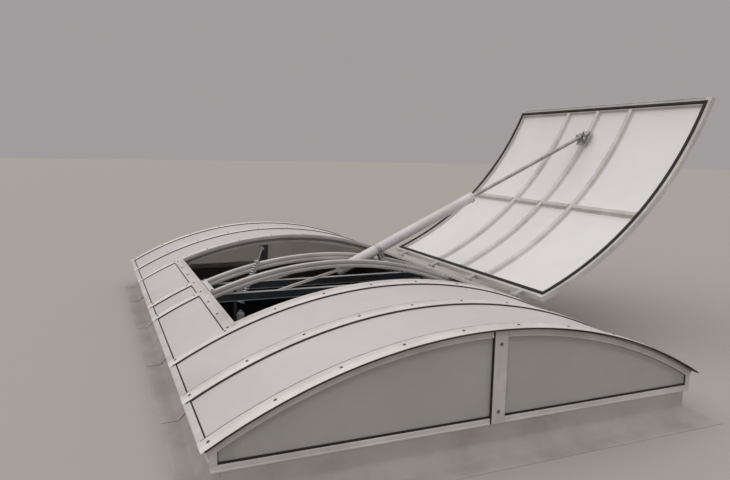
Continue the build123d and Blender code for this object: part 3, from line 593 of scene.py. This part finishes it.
# Eaves: foot, drip ledges on the outer face, nose under the strip ends
sill_inset = 0.067
stop_a = eave_a + 0.004 / strip_r
bed = in_section([(tip_a, gasket_r), (stop_a, gasket_r), (stop_a, arch_r), (seat_a, arch_r),
                  (seat_a, arch_in_r)])
foot_face = kerb_x + 0.004
ledge_face = eave_face + 0.005
drip_face = eave_face + 0.006
eave_outline = [
    (kerb_x - sill_inset, kerb_top), (foot_face, kerb_top), (foot_face, sill_top - 0.004),
    (ledge_face, sill_top - 0.004), (ledge_face, sill_top + 0.003), (eave_face, sill_top + 0.006),
    (eave_face, 0.219), (drip_face, 0.221), (drip_face, 0.227), (eave_face, 0.229),
    (eave_face, 0.251), (half_w - 0.008, 0.2555), (half_w - 0.003, 0.260),
]
for name, s in (("eave_left", -1), ("eave_right", 1)):
    points = [(s * x, z) for x, z in eave_outline + bed]
    bar = along_y(points, -gable_back, gable_back, 0.0012)
    piece(name + "_profile", "mill_aluminium", "base", [bar], [name])


# Gable: sill with a sloping nose, end posts, rim, mullion and its black edge, partly rubber and partly
# painted shade
sill_back_y = gable_face - 0.070
sill_back = [(sill_back_y, kerb_top), (sill_back_y, sill_top), (gable_back, sill_top),
             (gable_back, kerb_top)]
nose_top_y, nose_y, nose_foot_y = gable_face - 0.004, gable_face + 0.003, gable_face - 0.001
nose_drip_y = gable_face + 0.006
sill_nose = [
    (gable_back, kerb_top), (gable_back, sill_top), (nose_top_y, sill_top), (nose_y, sill_top - 0.004),
    (nose_y, kerb_top + 0.012), (nose_drip_y, kerb_top + 0.008), (nose_drip_y, kerb_top + 0.001),
    (nose_foot_y, kerb_top + 0.001), (nose_foot_y, kerb_top),
]
post_in = eave_face - 0.030
end_post = [(post_in, sill_top), (eave_face, sill_top),
            (eave_face, skin(head_r, at_x(eave_face, head_r)).z),
            (post_in, skin(head_r, at_x(post_in, head_r)).z)]
shapes = []
for s in both:
    back = [(s * y, z) for y, z in sill_back]
    shapes.append(along_x(back, sill_inset - kerb_x, kerb_x - sill_inset, 0.001))
    shapes.append(along_x([(s * y, z) for y, z in sill_nose], -eave_face, eave_face, 0.0008))
    ends = sorted((s * gable_back, s * nose_y))
    for t in both:
        shapes.append(along_y([(t * x, z) for x, z in end_post], *ends, 0.0015))
piece("sill_bars", "mill_aluminium", "base", shapes, ["sills"])

# The mullion stands a little right of the middle
cover_x = (0.010, 0.090)
rim_step = [
    (gable_face, rim_in_r), (gable_face + 0.004, rim_in_r), (gable_face + 0.005, rim_in_r + 0.003),
    (gable_face + 0.005, rim_in_r + 0.010), (gable_face + 0.0035, rim_in_r + 0.012),
    (gable_face + 0.0035, sheet_r - 0.009), (gable_face, sheet_r - 0.005),
]
gap = [at_x(x, rim_in_r) for x in (cover_x[0] - 0.006, cover_x[1] + 0.002)]
shapes = []
for s in both:
    outline = [(s * y, r) for y, r in rim_step]
    shapes += [arched(outline, -head_a, gap[0], thin), arched(outline, gap[1], head_a, thin)]
piece("gable_rim_bars", "mill_aluminium", "base", shapes, ["gable_rims"])

mullion_t = 0.007
mullion_edge = 0.0055
mullion_foot = kerb_top + 0.002
mullion_top = axis_z + sheet_r - 0.004
mullion_cover = [
    (cover_x[0], 0), (cover_x[0], mullion_edge), (cover_x[0] + 0.003, mullion_t), (0.038, mullion_t),
    (0.041, mullion_groove), (0.059, mullion_groove), (0.062, mullion_t),
    (cover_x[1] - 0.003, mullion_t), (cover_x[1], mullion_edge), (cover_x[1], 0),
]
post_x = (0.030, 0.070)
post_d = 0.040
web_x = (0.047, 0.053)
post_top = axis_z + sqrt(arch_in_r**2 - post_x[1]**2)
shapes = []
for s in both:
    points = [(x, s * (gable_face + y), mullion_foot) for x, y in mullion_cover]
    shapes.append(drawn(points, (0, 0, mullion_top - mullion_foot), 0.0005))
    near, far = sorted((s * gable_back, s * (gable_back - post_d)))
    shapes.append(block((post_x[0], near, sill_top), (post_x[1], far, post_top)))
    near, far = sorted((s * gable_back, s * gable_face))
    shapes.append(block((web_x[0], near, sill_top), (web_x[1], far, post_top + 0.030), 0))
piece("mullion_bars", "mill_aluminium", "base", shapes, ["mullions"])

# Black rubber on the sills and round the rim. The black strips at the mullion's left are partly rubber,
# partly painted shade of the gap there; the thin black uprights at the panels' ends and right of the mullion
# are painted shadow lines
seal_end = 1.375
seal_w = 0.004
sill_seal_h = 0.0105
mullion_seal_x = (cover_x[0] - 0.0075, cover_x[0])
mullion_seal_top = axis_z + sheet_r - 0.012
upright_shadow_strips = ((cover_x[1], cover_x[1] + seal_w), (-seal_end, seal_w - seal_end),
                 (seal_end - seal_w, seal_end))
rim_seal_y = (sheet_face + 0.0005, gable_face - 0.0005)
rim_seal = [(rim_seal_y[0], rim_in_r - 0.002), (rim_seal_y[1], rim_in_r - 0.0005),
            (rim_seal_y[1], rim_in_r + 0.008), (rim_seal_y[0], rim_in_r + 0.008)]
rim_seal_a = head_a - 0.011
shapes = []
for s in both:
    near, far = sorted((s * sheet_face, s * (gable_face - 0.0005)))
    for x0, x1 in ((-seal_end, cover_x[0]), (cover_x[1], seal_end)):
        shapes.append(block((x0, near, sill_top), (x1, far, sill_top + sill_seal_h), 0.001))
    edge = sorted((s * sheet_face, s * (gable_face + 0.0035)))
    shapes.append(block((mullion_seal_x[0], edge[0], sill_top),
                        (mullion_seal_x[1], edge[1], mullion_seal_top), 0.001))
    front = sorted((s * (gable_face + 0.003), s * (gable_face + 0.0065)))
    shapes.append(block((mullion_seal_x[0], front[0], mullion_foot),
                        (mullion_seal_x[1], front[1], mullion_seal_top), 0.0008))
    # Painted shadow lines: thin black uprights in the gaps at the panels' ends and right of the mullion
    for x0, x1 in upright_shadow_strips:
        high = skin(head_r, at_x(max(abs(x0), abs(x1)), head_r)).z
        shapes.append(block((x0, near, sill_top), (x1, far, high), 0.0006))
    shapes.append(arched([(s * y, r) for y, r in rim_seal], -rim_seal_a, rim_seal_a, 0))
piece("gable_seals_and_shadow_strips", "black_seal", "base", shapes, ["gable_gaskets"])


# Roofing membrane: one skin up the kerb, over the cant and out on the roof, a little uneven.
# Its levels are places out from the kerb and heights
skin_levels = (
    (0.003, 0.162), (0.003, 0.120), (0.0035, 0.078), (0.007, 0.063), (0.020, 0.047), (0.036, 0.031),
    (0.052, 0.015), (0.062, 0.0075), (0.074, 0.0050), (0.110, 0.0045), (0.140, 0.0044), (0.160, 0.0042),
    (0.1635, 0.0030), (0.1635, 0.0002),
)
skin_gap = 0.001
wave_pitch = 2.2
wave_out = 0.0022
wave_up = 0.0016


def membrane_skin():
    """Skin drawn from the kerb's top edge through all levels, with slow waves in it."""
    shape = bmesh.new()
    bmesh.ops.create_grid(shape, x_segments=1, y_segments=1, size=1.0)
    ring_x, ring_y = kerb_x + skin_gap, gable_face + skin_gap
    for v in shape.verts:
        v.co = (copysign(ring_x, v.co.x), copysign(ring_y, v.co.y), kerb_top)
    bmesh.ops.delete(shape, geom=shape.faces[:], context="FACES_ONLY")
    bmesh.ops.subdivide_edges(shape, edges=shape.edges[:], cuts=60)
    loop = shape.edges[:]
    origins = {v: v.co.copy() for v in shape.verts}
    for out, height in skin_levels:
        made = bmesh.ops.extrude_edge_only(shape, edges=loop)["geom"]
        loop = [e for e in made if isinstance(e, bmesh.types.BMEdge)]
        fresh = [v for v in made if isinstance(v, bmesh.types.BMVert)]
        following = {}
        for v in fresh:
            above = next(e.other_vert(v) for e in v.link_edges if e.other_vert(v) in origins)
            origin = origins[above]
            following[v] = origin
            away_x = copysign(1, origin.x) if abs(abs(origin.x) - ring_x) < 1e-4 else 0
            away_y = copysign(1, origin.y) if abs(abs(origin.y) - ring_y) < 1e-4 else 0
            where = Vector((origin.x * wave_pitch, origin.y * wave_pitch, 7 * out))
            wave = noise.noise(where) if height < 0.15 else 0
            shift = out + wave_out * wave * min(1, 12 * out)
            lift = max(0, wave_up * wave) if 0.02 < out < 0.16 else 0
            v.co = (origin.x + away_x * shift, origin.y + away_y * shift, height + lift)
        origins = following
    bmesh.ops.recalc_face_normals(shape, faces=shape.faces[:])
    return shape


# Lap seams that follow the membrane, torch-welded: left, right and rear
seam_w = 0.085
right_later = 0.060
seam_top = [(0.0062, 0.156), (0.0064, 0.079), (0.011, 0.065), (0.056, 0.0185), (0.064, 0.0105),
            (0.076, 0.0078), (0.158, 0.0068)]
seam_path = seam_top + [(o - 0.0015, z - 0.0012) for o, z in reversed(seam_top)]


def side_seam(s, at):
    """Seam on the left or right side of the kerb; at is its place along Y."""
    outline = [(s * (kerb_x + o), z) for o, z in seam_path]
    return along_y(outline, at - seam_w / 2, at + seam_w / 2, thin)


def rear_seam(at):
    """Seam on the rear of the kerb; at is its place along X."""
    outline = [(gable_face + o, z) for o, z in seam_path]
    return along_x(outline, at - seam_w / 2, at + seam_w / 2, thin)


shapes = [membrane_skin()]
for at in (-1.41, -0.40, 0.62, 1.64):
    shapes += [side_seam(-1, at), side_seam(1, at + right_later)]
shapes += [rear_seam(at) for at in (0.71, -0.36)]
piece("membrane_skin", "roofing_membrane", "base", shapes, ["membrane"])


# Gear between the twin arches: channels with pale lips, hangers, a drop bar with the valve
channel_z = 0.372
channel_top = 0.432
channel_half = 0.0205
channel_lip_half = 0.0235
channel_lip_t = 0.0035
hanger_x = 0.785
hanger_half = 0.010
drop_bar_x = (-0.850, -0.826)
drop_bar_foot = 0.150


def chord(z):
    """Half of the arches' inner width at a height."""
    return sqrt(arch_in_r**2 - (z - axis_z) ** 2)


low, high = chord(channel_z), chord(channel_top)
hanger_top = axis_z + sqrt(arch_in_r**2 - hanger_x**2)
channel_web = [(-low, channel_z), (low, channel_z), (high, channel_top), (-high, channel_top)]
shapes, lips = [], []
for s in both:
    c = s * twin_y
    web = [(x, c - channel_half, z) for x, z in channel_web]
    shapes.append(drawn(web, (0, 2 * channel_half, 0), 0.001))
    y0, y1 = c - channel_lip_half, c + channel_lip_half
    # Pale zinc lips; on the channels' top edges their paleness also stands in for the sky's light there,
    # partly a painted highlight
    for z, x in ((channel_top - 0.002, high), (channel_z, low - 0.003)):
        lips.append(block((-x, y0, z), (x, y1, z + channel_lip_t), 0.001))
    shapes.append(block((hanger_x - hanger_half, c - hanger_half, channel_top),
                        (hanger_x + hanger_half, c + hanger_half, hanger_top)))
shapes.append(block((drop_bar_x[0], -twin_y - 0.012, drop_bar_foot),
                    (drop_bar_x[1], -twin_y + 0.012, channel_z + 0.001), 0.002))
piece("channel_bars", "dark_channel", "base", shapes, ["cross_channels"])
piece("channel_lips", "galvanised", "base", lips)

valve = [(0, 0), (0, 0.020), (0.004, 0.026), (0.006, 0.030), (0.084, 0.030), (0.092, 0.026), (0.098, 0.018),
         (0.098, 0.012), (0.110, 0.012), (0.110, 0)]
shapes = [turned(valve, (-0.796, -twin_y, 0.182), (0, 0, 1), 28)]
shapes.append(block((-0.828, -twin_y - 0.016, 0.200), (-0.812, -twin_y + 0.016, 0.268), 0.002))
piece("valve_body", "valve_grey", "base", shapes, ["valve_box"])

# Tie plates with folded edges
tie_half = 0.018 / arch_r
tie_reach = twin_y + arch_half
tie_top = arch_r + tie_plate_t
shapes = []
for s in both:
    a0, a1 = s * tie_a - tie_half, s * tie_a + tie_half
    plate = [(a0, arch_r), (a0, tie_top), (a0 + 0.0012, tie_top + 0.0005), (a0 + 0.0018, tie_top - 0.002),
             (a1 - 0.0018, tie_top - 0.002), (a1 - 0.0012, tie_top + 0.0005), (a1, tie_top), (a1, arch_r)]
    shapes.append(along_y(in_section(plate), -tie_reach, tie_reach, 0.0006))
piece("tie_plate_bars", "mill_aluminium", "base", shapes, ["tie_plates"])


# Flap: frame of one box section all round with a drip edge, drawn shut and swung open
skirt_in_r = frame_r - 0.006


def flap_section(inner, outer, u=1.0):
    """Frame section between two places, with u the size of a metre in the same measure."""
    step_r = frame_out_r - 0.002
    groove_r = frame_r + 0.002
    return [
        (inner, frame_r), (inner, step_r), (inner + 0.002 * u, frame_out_r),
        (inner + 0.022 * u, frame_out_r), (inner + 0.024 * u, step_r), (outer - 0.016 * u, step_r),
        (outer - 0.014 * u, frame_out_r), (outer - 0.003 * u, frame_out_r), (outer, frame_out_r - 0.003),
        (outer, frame_r + 0.012), (outer - 0.0012 * u, frame_r + 0.011),
        (outer - 0.0012 * u, frame_r + 0.009), (outer, frame_r + 0.008), (outer, skirt_in_r + 0.002),
        (outer - 0.002 * u, skirt_in_r), (outer - 0.005 * u, skirt_in_r),
        (outer - 0.006 * u, skirt_in_r + 0.001), (outer - 0.006 * u, frame_r), (outer - 0.018 * u, frame_r),
        (outer - 0.0185 * u, groove_r), (outer - 0.0205 * u, groove_r), (outer - 0.021 * u, frame_r),
    ]


for name, s in (("flap_frame_front", -1), ("flap_frame_rear", 1)):
    outline = [(s * y, r) for y, r in flap_section(flap_in_y, flap_out_y)]
    bar = arched(outline, -flap_out_a, flap_out_a, 0)
    piece(name + "_bar", "mill_aluminium", "flap", [bar], [name], swung_open)
side_reach = flap_in_y + 0.001
for name, s in (("flap_frame_free", -1), ("flap_frame_hinge", 1)):
    outline = flap_section(flap_in_a, flap_out_a, 1 / strip_r)
    bar = along_y(in_section(outline, s), -side_reach, side_reach, 0)
    piece(name + "_bar", "mill_aluminium", "flap", [bar], [name], swung_open)

# Black seal of the flap: a broad hollow bulb under the inner half of the frame
bulb_half = 0.013
bulb_side = [(bulb_half, frame_r + 0.001), (bulb_half, seal_r + 0.005), (0.75 * bulb_half, seal_r + 0.001),
             (0.4 * bulb_half, seal_r)]
bulb = [(-y, r) for y, r in bulb_side] + bulb_side[::-1]
ring_a = seal_a + bulb_half / strip_r
shapes = []
for s in both:
    shapes.append(arched([(s * seal_y + y, r) for y, r in bulb], -ring_a, ring_a, 0.001))
    outline = [(s * seal_a + y / strip_r, r) for y, r in bulb]
    shapes.append(along_y(in_section(outline), bulb_half - seal_y, seal_y - bulb_half, 0.001))
piece("flap_bulb_seal", "black_seal", "flap", shapes, ["flap_seal"], swung_open)

# Ribs of the flap: rolled hat sections with a fine double line on their face
rib_half = 0.0325
rib_y = 0.420
hat_side = [
    (rib_half, rib_out_r), (rib_half, rib_out_r - 0.0025), (rib_half - 0.008, rib_out_r - 0.004),
    (rib_half - 0.012, rib_in_r + 0.006), (rib_half - 0.016, rib_in_r + 0.001), (0.008, rib_in_r),
    (0.007, rib_in_r + 0.002), (0.005, rib_in_r + 0.002), (0.004, rib_in_r),
]
hat = hat_side + [(-y, r) for y, r in reversed(hat_side)]
for name, node_name, places in (("middle_rib_bar", "rib_middle", (0,)),
                                ("side_rib_bars", "side_ribs", (-rib_y, rib_y))):
    shapes = [arched([(y + c, r) for y, r in hat], -flap_in_a, flap_in_a, 0.0012) for c in places]
    piece(name, "mill_aluminium", "flap", shapes, [node_name], swung_open)
cross_a = 0.02 * seal_a
cross_outline = in_section([(cross_a + y / strip_r, r) for y, r in hat])
shapes = []
for y0, y1 in ((rib_half, rib_y - rib_half), (rib_y + rib_half, flap_in_y)):
    for s in both:
        shapes.append(along_y(cross_outline, *sorted((s * y0, s * y1)), 0.0012))
piece("cross_rib_bars", "mill_aluminium", "flap", shapes, ["cross_ribs"], swung_open)

# Hinges: long leaves on the opening's bar, with two knuckles round one pin each
leaf_half = 0.110
leaf_top = strip_r + 0.005
leaf_in_a = profile_a - 0.030 / strip_r
leaf_out_a = hinge_a - 0.010 / strip_r
leaf = in_section([(leaf_in_a, strip_r), (leaf_in_a, strip_r + 0.004), (profile_a, leaf_top),
                   (leaf_out_a, leaf_top), (leaf_out_a, strip_r)])
ear_places = (0.0255, 0.0375)
ear = in_section([(hinge_a - 0.016 / strip_r, strip_r + 0.004), (hinge_a - 0.013 / strip_r, hinge_r),
                  (hinge_a + 0.013 / strip_r, hinge_r), (hinge_a + 0.016 / strip_r, strip_r)])
knuckle = [(0, 0), (0, 0.0155), (0.0008, 0.016), (0.0112, 0.016), (0.012, 0.0155), (0.012, 0)]
pin_head = [(0, 0), (0, 0.011), (0.003, 0.011), (0.005, 0.008), (0.005, 0)]
pin_l, pin_radius = 0.051, 0.0078
hinge_pin = [(0, 0), (0, pin_radius), (pin_l, pin_radius), (pin_l, 0)]
leaf_screw_y = 0.075
leaf_screw_a = profile_a - 0.012 / strip_r
shapes = []
for y in hinge_places:
    shapes.append(along_y(leaf, y - leaf_half, y + leaf_half, 0.0008))
    for s in both:
        y0, y1 = sorted(y + s * place for place in ear_places)
        shapes.append(along_y(ear, y0, y1, 0.0008))
        shapes.append(turned(knuckle, (hinge.x, y0, hinge.z), (0, 1, 0), 28))
        shapes.append(bolt(skin(strip_r + 0.004, leaf_screw_a, y + s * leaf_screw_y),
                           out_of_vault(profile_a), 0.005, 0.004, 0.007))
        tip = hinge + Vector((0, y + s * ear_places[1], 0))
        shapes.append(turned(pin_head, tip, (0, s, 0), 20))
    shapes.append(turned(hinge_pin, (hinge.x, y - ear_places[0], hinge.z), (0, 1, 0), 24))
piece("hinge_leaves", "galvanised", "base", shapes, ["hinge_brackets"])

# Lift cylinder on its trunnion, drawn open: places along its axis from the trunnion, and radii
trunnion_x = 0.5
trunnion_r = arch_r - 0.025
trunnion = Vector((trunnion_x, 0, axis_z + sqrt(trunnion_r**2 - trunnion_x**2)))
slope = radians(25.3)
aim = Vector((cos(slope), 0, sin(slope)))
above = Vector((-sin(slope), 0, cos(slope)))
tube_line = trunnion + above * 0.127


def on_tube(profile, sides=32):
    """Round part on the cylinder's axis, from places along it and radii."""
    return turned(profile, tube_line, aim, sides)


head, tail = 1.015, -0.410
tube_out, tube_in, groove = 0.045, 0.039, 0.0435
rod_bore = 0.0166
tube = [
    (tail, 0), (tail, 0.030), (tail + 0.004, 0.041), (tail + 0.006, tube_out), (tail + 0.030, tube_out),
    (tail + 0.032, groove), (tail + 0.036, groove), (tail + 0.038, tube_out), (head - 0.046, tube_out),
    (head - 0.044, groove), (head - 0.040, groove), (head - 0.038, tube_out), (head, tube_out),
    (head, tube_in), (tail + 0.025, tube_in), (tail + 0.025, 0),
]
piece("cylinder_barrel", "cylinder_grey", "cylinder", [on_tube(tube)], ["cylinder_tube"])
gland = [
    (head - 0.035, rod_bore), (head - 0.035, 0.0388), (head, 0.0388), (head, 0.048), (head + 0.002, 0.050),
    (head + 0.010, 0.050), (head + 0.012, 0.047), (head + 0.022, 0.046), (head + 0.025, 0.040),
    (head + 0.025, rod_bore), (head - 0.035, rod_bore),
]
piece("gland_nut", "cylinder_grey", "cylinder", [on_tube(gland)], ["gland"])

# Cradle: a slim ring round the tube on an arm with a bush, held by two screws a side
ring_in, ring_out, arm = 0.0452, 0.0490, 0.020
arm_l = 0.090
arm_half = 0.032
bush = [(-arm_half, 0), (-arm_half, 0.025), (-0.031, 0.026), (0.031, 0.026), (arm_half, 0.025),
        (arm_half, 0)]
clamp = [
    (-arm, ring_in), (-arm, ring_out - 0.001), (0.001 - arm, ring_out), (-0.004, ring_out),
    (-0.003, ring_out - 0.0015), (0.003, ring_out - 0.0015), (0.004, ring_out), (arm - 0.001, ring_out),
    (arm, ring_out - 0.001), (arm, ring_in), (-arm, ring_in),
]
corners = [trunnion + aim * s + above * n for s, n in ((-arm, 0), (arm, 0), (arm, arm_l), (-arm, arm_l))]
shapes = [on_tube(clamp), along_y([(p.x, p.z) for p in corners], -arm_half, arm_half, 0.003)]
shapes.append(turned(bush, trunnion, (0, 1, 0), 28))
piece("cradle_clamp", "galvanised", "cylinder", shapes, ["cradle"])
shapes = []
for s in both:
    for n in (0.050, 0.074):
        place = trunnion + above * n + Vector((0, s * arm_half, 0))
        shapes.append(bolt(place, (0, s, 0), 0.007, 0.006, 0.010))
piece("cradle_bolts", "fastener", "cylinder", shapes)

# Rod's end: its pin meets the flap's middle rib, where the swung flap puts the rib's radius
pin_drop = 0.0383
centre = swung_open @ Vector((0, 0, axis_z))
pin_r = rib_in_r - pin_drop
toward = (centre - tube_line).dot(aim)
rod_pin = toward + sqrt(pin_r**2 - (centre - tube_line).length_squared + toward**2)
pin = tube_line + aim * rod_pin
cross_pin = [(-0.070, 0), (-0.070, 0.012), (0.070, 0.012), (0.070, 0)]
roller = [(0, 0), (0, 0.017), (0.001, 0.018), (0.005, 0.018), (0.006, 0.017), (0.006, 0.009),
          (0.012, 0.008), (0.012, 0)]
eye = [(-0.020, 0), (-0.020, 0.025), (-0.018, 0.028), (0.018, 0.028), (0.020, 0.025), (0.020, 0)]
neck = [(rod_pin - 0.045, 0), (rod_pin - 0.045, 0.0215), (rod_pin - 0.043, 0.022),
        (rod_pin - 0.024, 0.022), (rod_pin - 0.018, 0.018), (rod_pin - 0.010, 0.018),
        (rod_pin - 0.010, 0)]
shapes = [turned(cross_pin, pin, (0, 1, 0), 24)]
for s in both:
    shapes.append(turned(roller, pin + Vector((0, s * 0.064, 0)), (0, s, 0), 20))
shapes.append(turned(eye, pin, (0, 1, 0), 28))
shapes.append(on_tube(neck, 24))
piece("rod_end_eye", "rod_steel", "rod", shapes, ["rod_eye"])

# Saddle's screws: two through each cheek, two in each foot on the rib
pin_shut = swung_open.inverted() @ pin
pin_a = atan2(pin_shut.x, pin_shut.z - axis_z)
inward = (-sin(pin_a), 0, -cos(pin_a))
shapes = []
for s in both:
    for turn in (-0.010, 0.010):
        where = skin(rib_in_r - 0.022, pin_a + turn, s * 0.062)
        shapes.append(bolt(where, (0, s, 0), 0.009, 0.008, 0.013))
    for turn in (-0.021, 0.021):
        where = skin(rib_in_r - 0.010, pin_a + turn, s * 0.045)
        shapes.append(bolt(where, inward, 0.008, 0.007, 0.012))
piece("saddle_bolts", "fastener", "flap", shapes, turn=swung_open)

# Lift spring: a true coil on its guide, with the plunger's hook above it
lean = radians(22.4)
spring_axis = Vector((sin(lean), 0, cos(lean)))
spring_foot = Vector((-0.726, 0.110, 0.288))
spring_l = 0.350
wire = 0.0045
ring = 0.0205
coils = 16
steps_a_turn = 16


def coil():
    """Round wire wound up the guide from its foot."""
    side = Vector((0, 1, 0))
    shape = bmesh.new()
    circle = bmesh.ops.create_circle(shape, cap_ends=True, segments=8, radius=wire)["verts"]
    out = spring_axis.cross(side).normalized()
    place = Matrix.Translation(spring_foot + spring_axis * wire + out * ring)
    turn = Matrix((out, spring_axis, side)).transposed().to_4x4()
    bmesh.ops.transform(shape, matrix=place @ turn, verts=circle)
    steps = coils * steps_a_turn
    rise = (spring_l - 2 * wire) / steps
    whole = shape.faces[:] + shape.edges[:] + shape.verts[:]
    bmesh.ops.spin(shape, geom=whole, cent=spring_foot, axis=spring_axis, dvec=spring_axis * rise,
                   angle=2 * pi * coils, steps=steps)
    bmesh.ops.recalc_face_normals(shape, faces=shape.faces[:])
    return shape


spring = piece("lift_spring_coil", "spring_steel", "base", [coil()], ["lift_spring"])
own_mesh(spring)
plunger = [(0.040, 0), (0.040, 0.008), (0.3495, 0.008), (0.3495, 0.024), (0.351, 0.026), (0.357, 0.026),
           (0.358, 0.024), (0.359, 0.012), (0.366, 0.004), (0.460, 0.004), (0.460, 0)]
loop = [(-0.005, 0.006), (-0.005, 0.014), (0.005, 0.014), (0.005, 0.006), (-0.005, 0.006)]
loop_place = spring_foot + spring_axis * 0.467
shapes = [turned(plunger, spring_foot, spring_axis, 24), turned(loop, loop_place, (0, 1, 0), 24)]
piece("plunger_rod", "galvanised", "spring_rod", shapes, ["plunger"])


# Floor with the roof opening under the kerb, a shaft below it painted near black as painted shade for the
# unlit room under the roof, and the light
floor_half = 70.0
shaft_x = kerb_x - kerb_wall
shaft_y = gable_face - kerb_wall
shaft_deep = 1.6


def stage_piece(name, shape, colour, rough):
    """Piece of the stage, in one plain colour."""
    mesh = bpy.data.meshes.new(name)
    shape.to_mesh(mesh)
    shape.free()
    made = bpy.data.objects.new(name, mesh)
    scene.collection.objects.link(made)
    material = bpy.data.materials.new(name)
    material.use_nodes = True
    shader = material.node_tree.nodes["Principled BSDF"]
    shader.inputs["Base Color"].default_value = linear(colour)
    shader.inputs["Roughness"].default_value = rough
    mesh.materials.append(material)


def floor_shape():
    """Wide floor with a hole in the middle."""
    shape = bmesh.new()
    bmesh.ops.create_grid(shape, x_segments=3, y_segments=3, size=1.0)
    for v in shape.verts:
        x = floor_half if abs(v.co.x) > 0.9 else shaft_x
        y = floor_half if abs(v.co.y) > 0.9 else shaft_y
        v.co = (copysign(x, v.co.x), copysign(y, v.co.y), 0)
    middle = min(shape.faces, key=lambda f: f.calc_center_median().length)
    bmesh.ops.delete(shape, geom=[middle], context="FACES")
    return shape


def shaft_shape():
    """Open box below the hole, facing inwards."""
    shape = bmesh.new()
    bmesh.ops.create_cube(shape, size=1.0)
    top = max(shape.faces, key=lambda f: f.calc_center_median().z)
    bmesh.ops.delete(shape, geom=[top], context="FACES_ONLY")
    bmesh.ops.scale(shape, vec=(2 * shaft_x, 2 * shaft_y, shaft_deep), verts=shape.verts[:])
    bmesh.ops.translate(shape, vec=(0, 0, -shaft_deep / 2), verts=shape.verts[:])
    bmesh.ops.reverse_faces(shape, faces=shape.faces[:])
    return shape


stage_piece("floor", floor_shape(), "#ABA49E", 0.85)
# Near-black walls: painted shade for the unlit space below the opening
stage_piece("shaft", shaft_shape(), "#161414", 0.90)

world = bpy.data.worlds.new("overcast")
world.use_nodes = True
sky = world.node_tree.nodes["Background"]
sky.inputs["Color"].default_value = linear("#C8C3C4")
sky.inputs["Strength"].default_value = 0.62
scene.world = world


def soft_sun(name, place, wide, power):
    """Lamp as wide as the bright part of an overcast sky, shining from a place to the middle."""
    lamp = bpy.data.lights.new(name, "SUN")
    lamp.angle = wide
    lamp.energy = power
    made = bpy.data.objects.new(name, lamp)
    made.rotation_euler = (-Vector(place)).to_track_quat("-Z", "Y").to_euler()
    scene.collection.objects.link(made)


soft_sun("bright_sky", (-1.5, -0.5, 5.0), radians(105), 1.9)
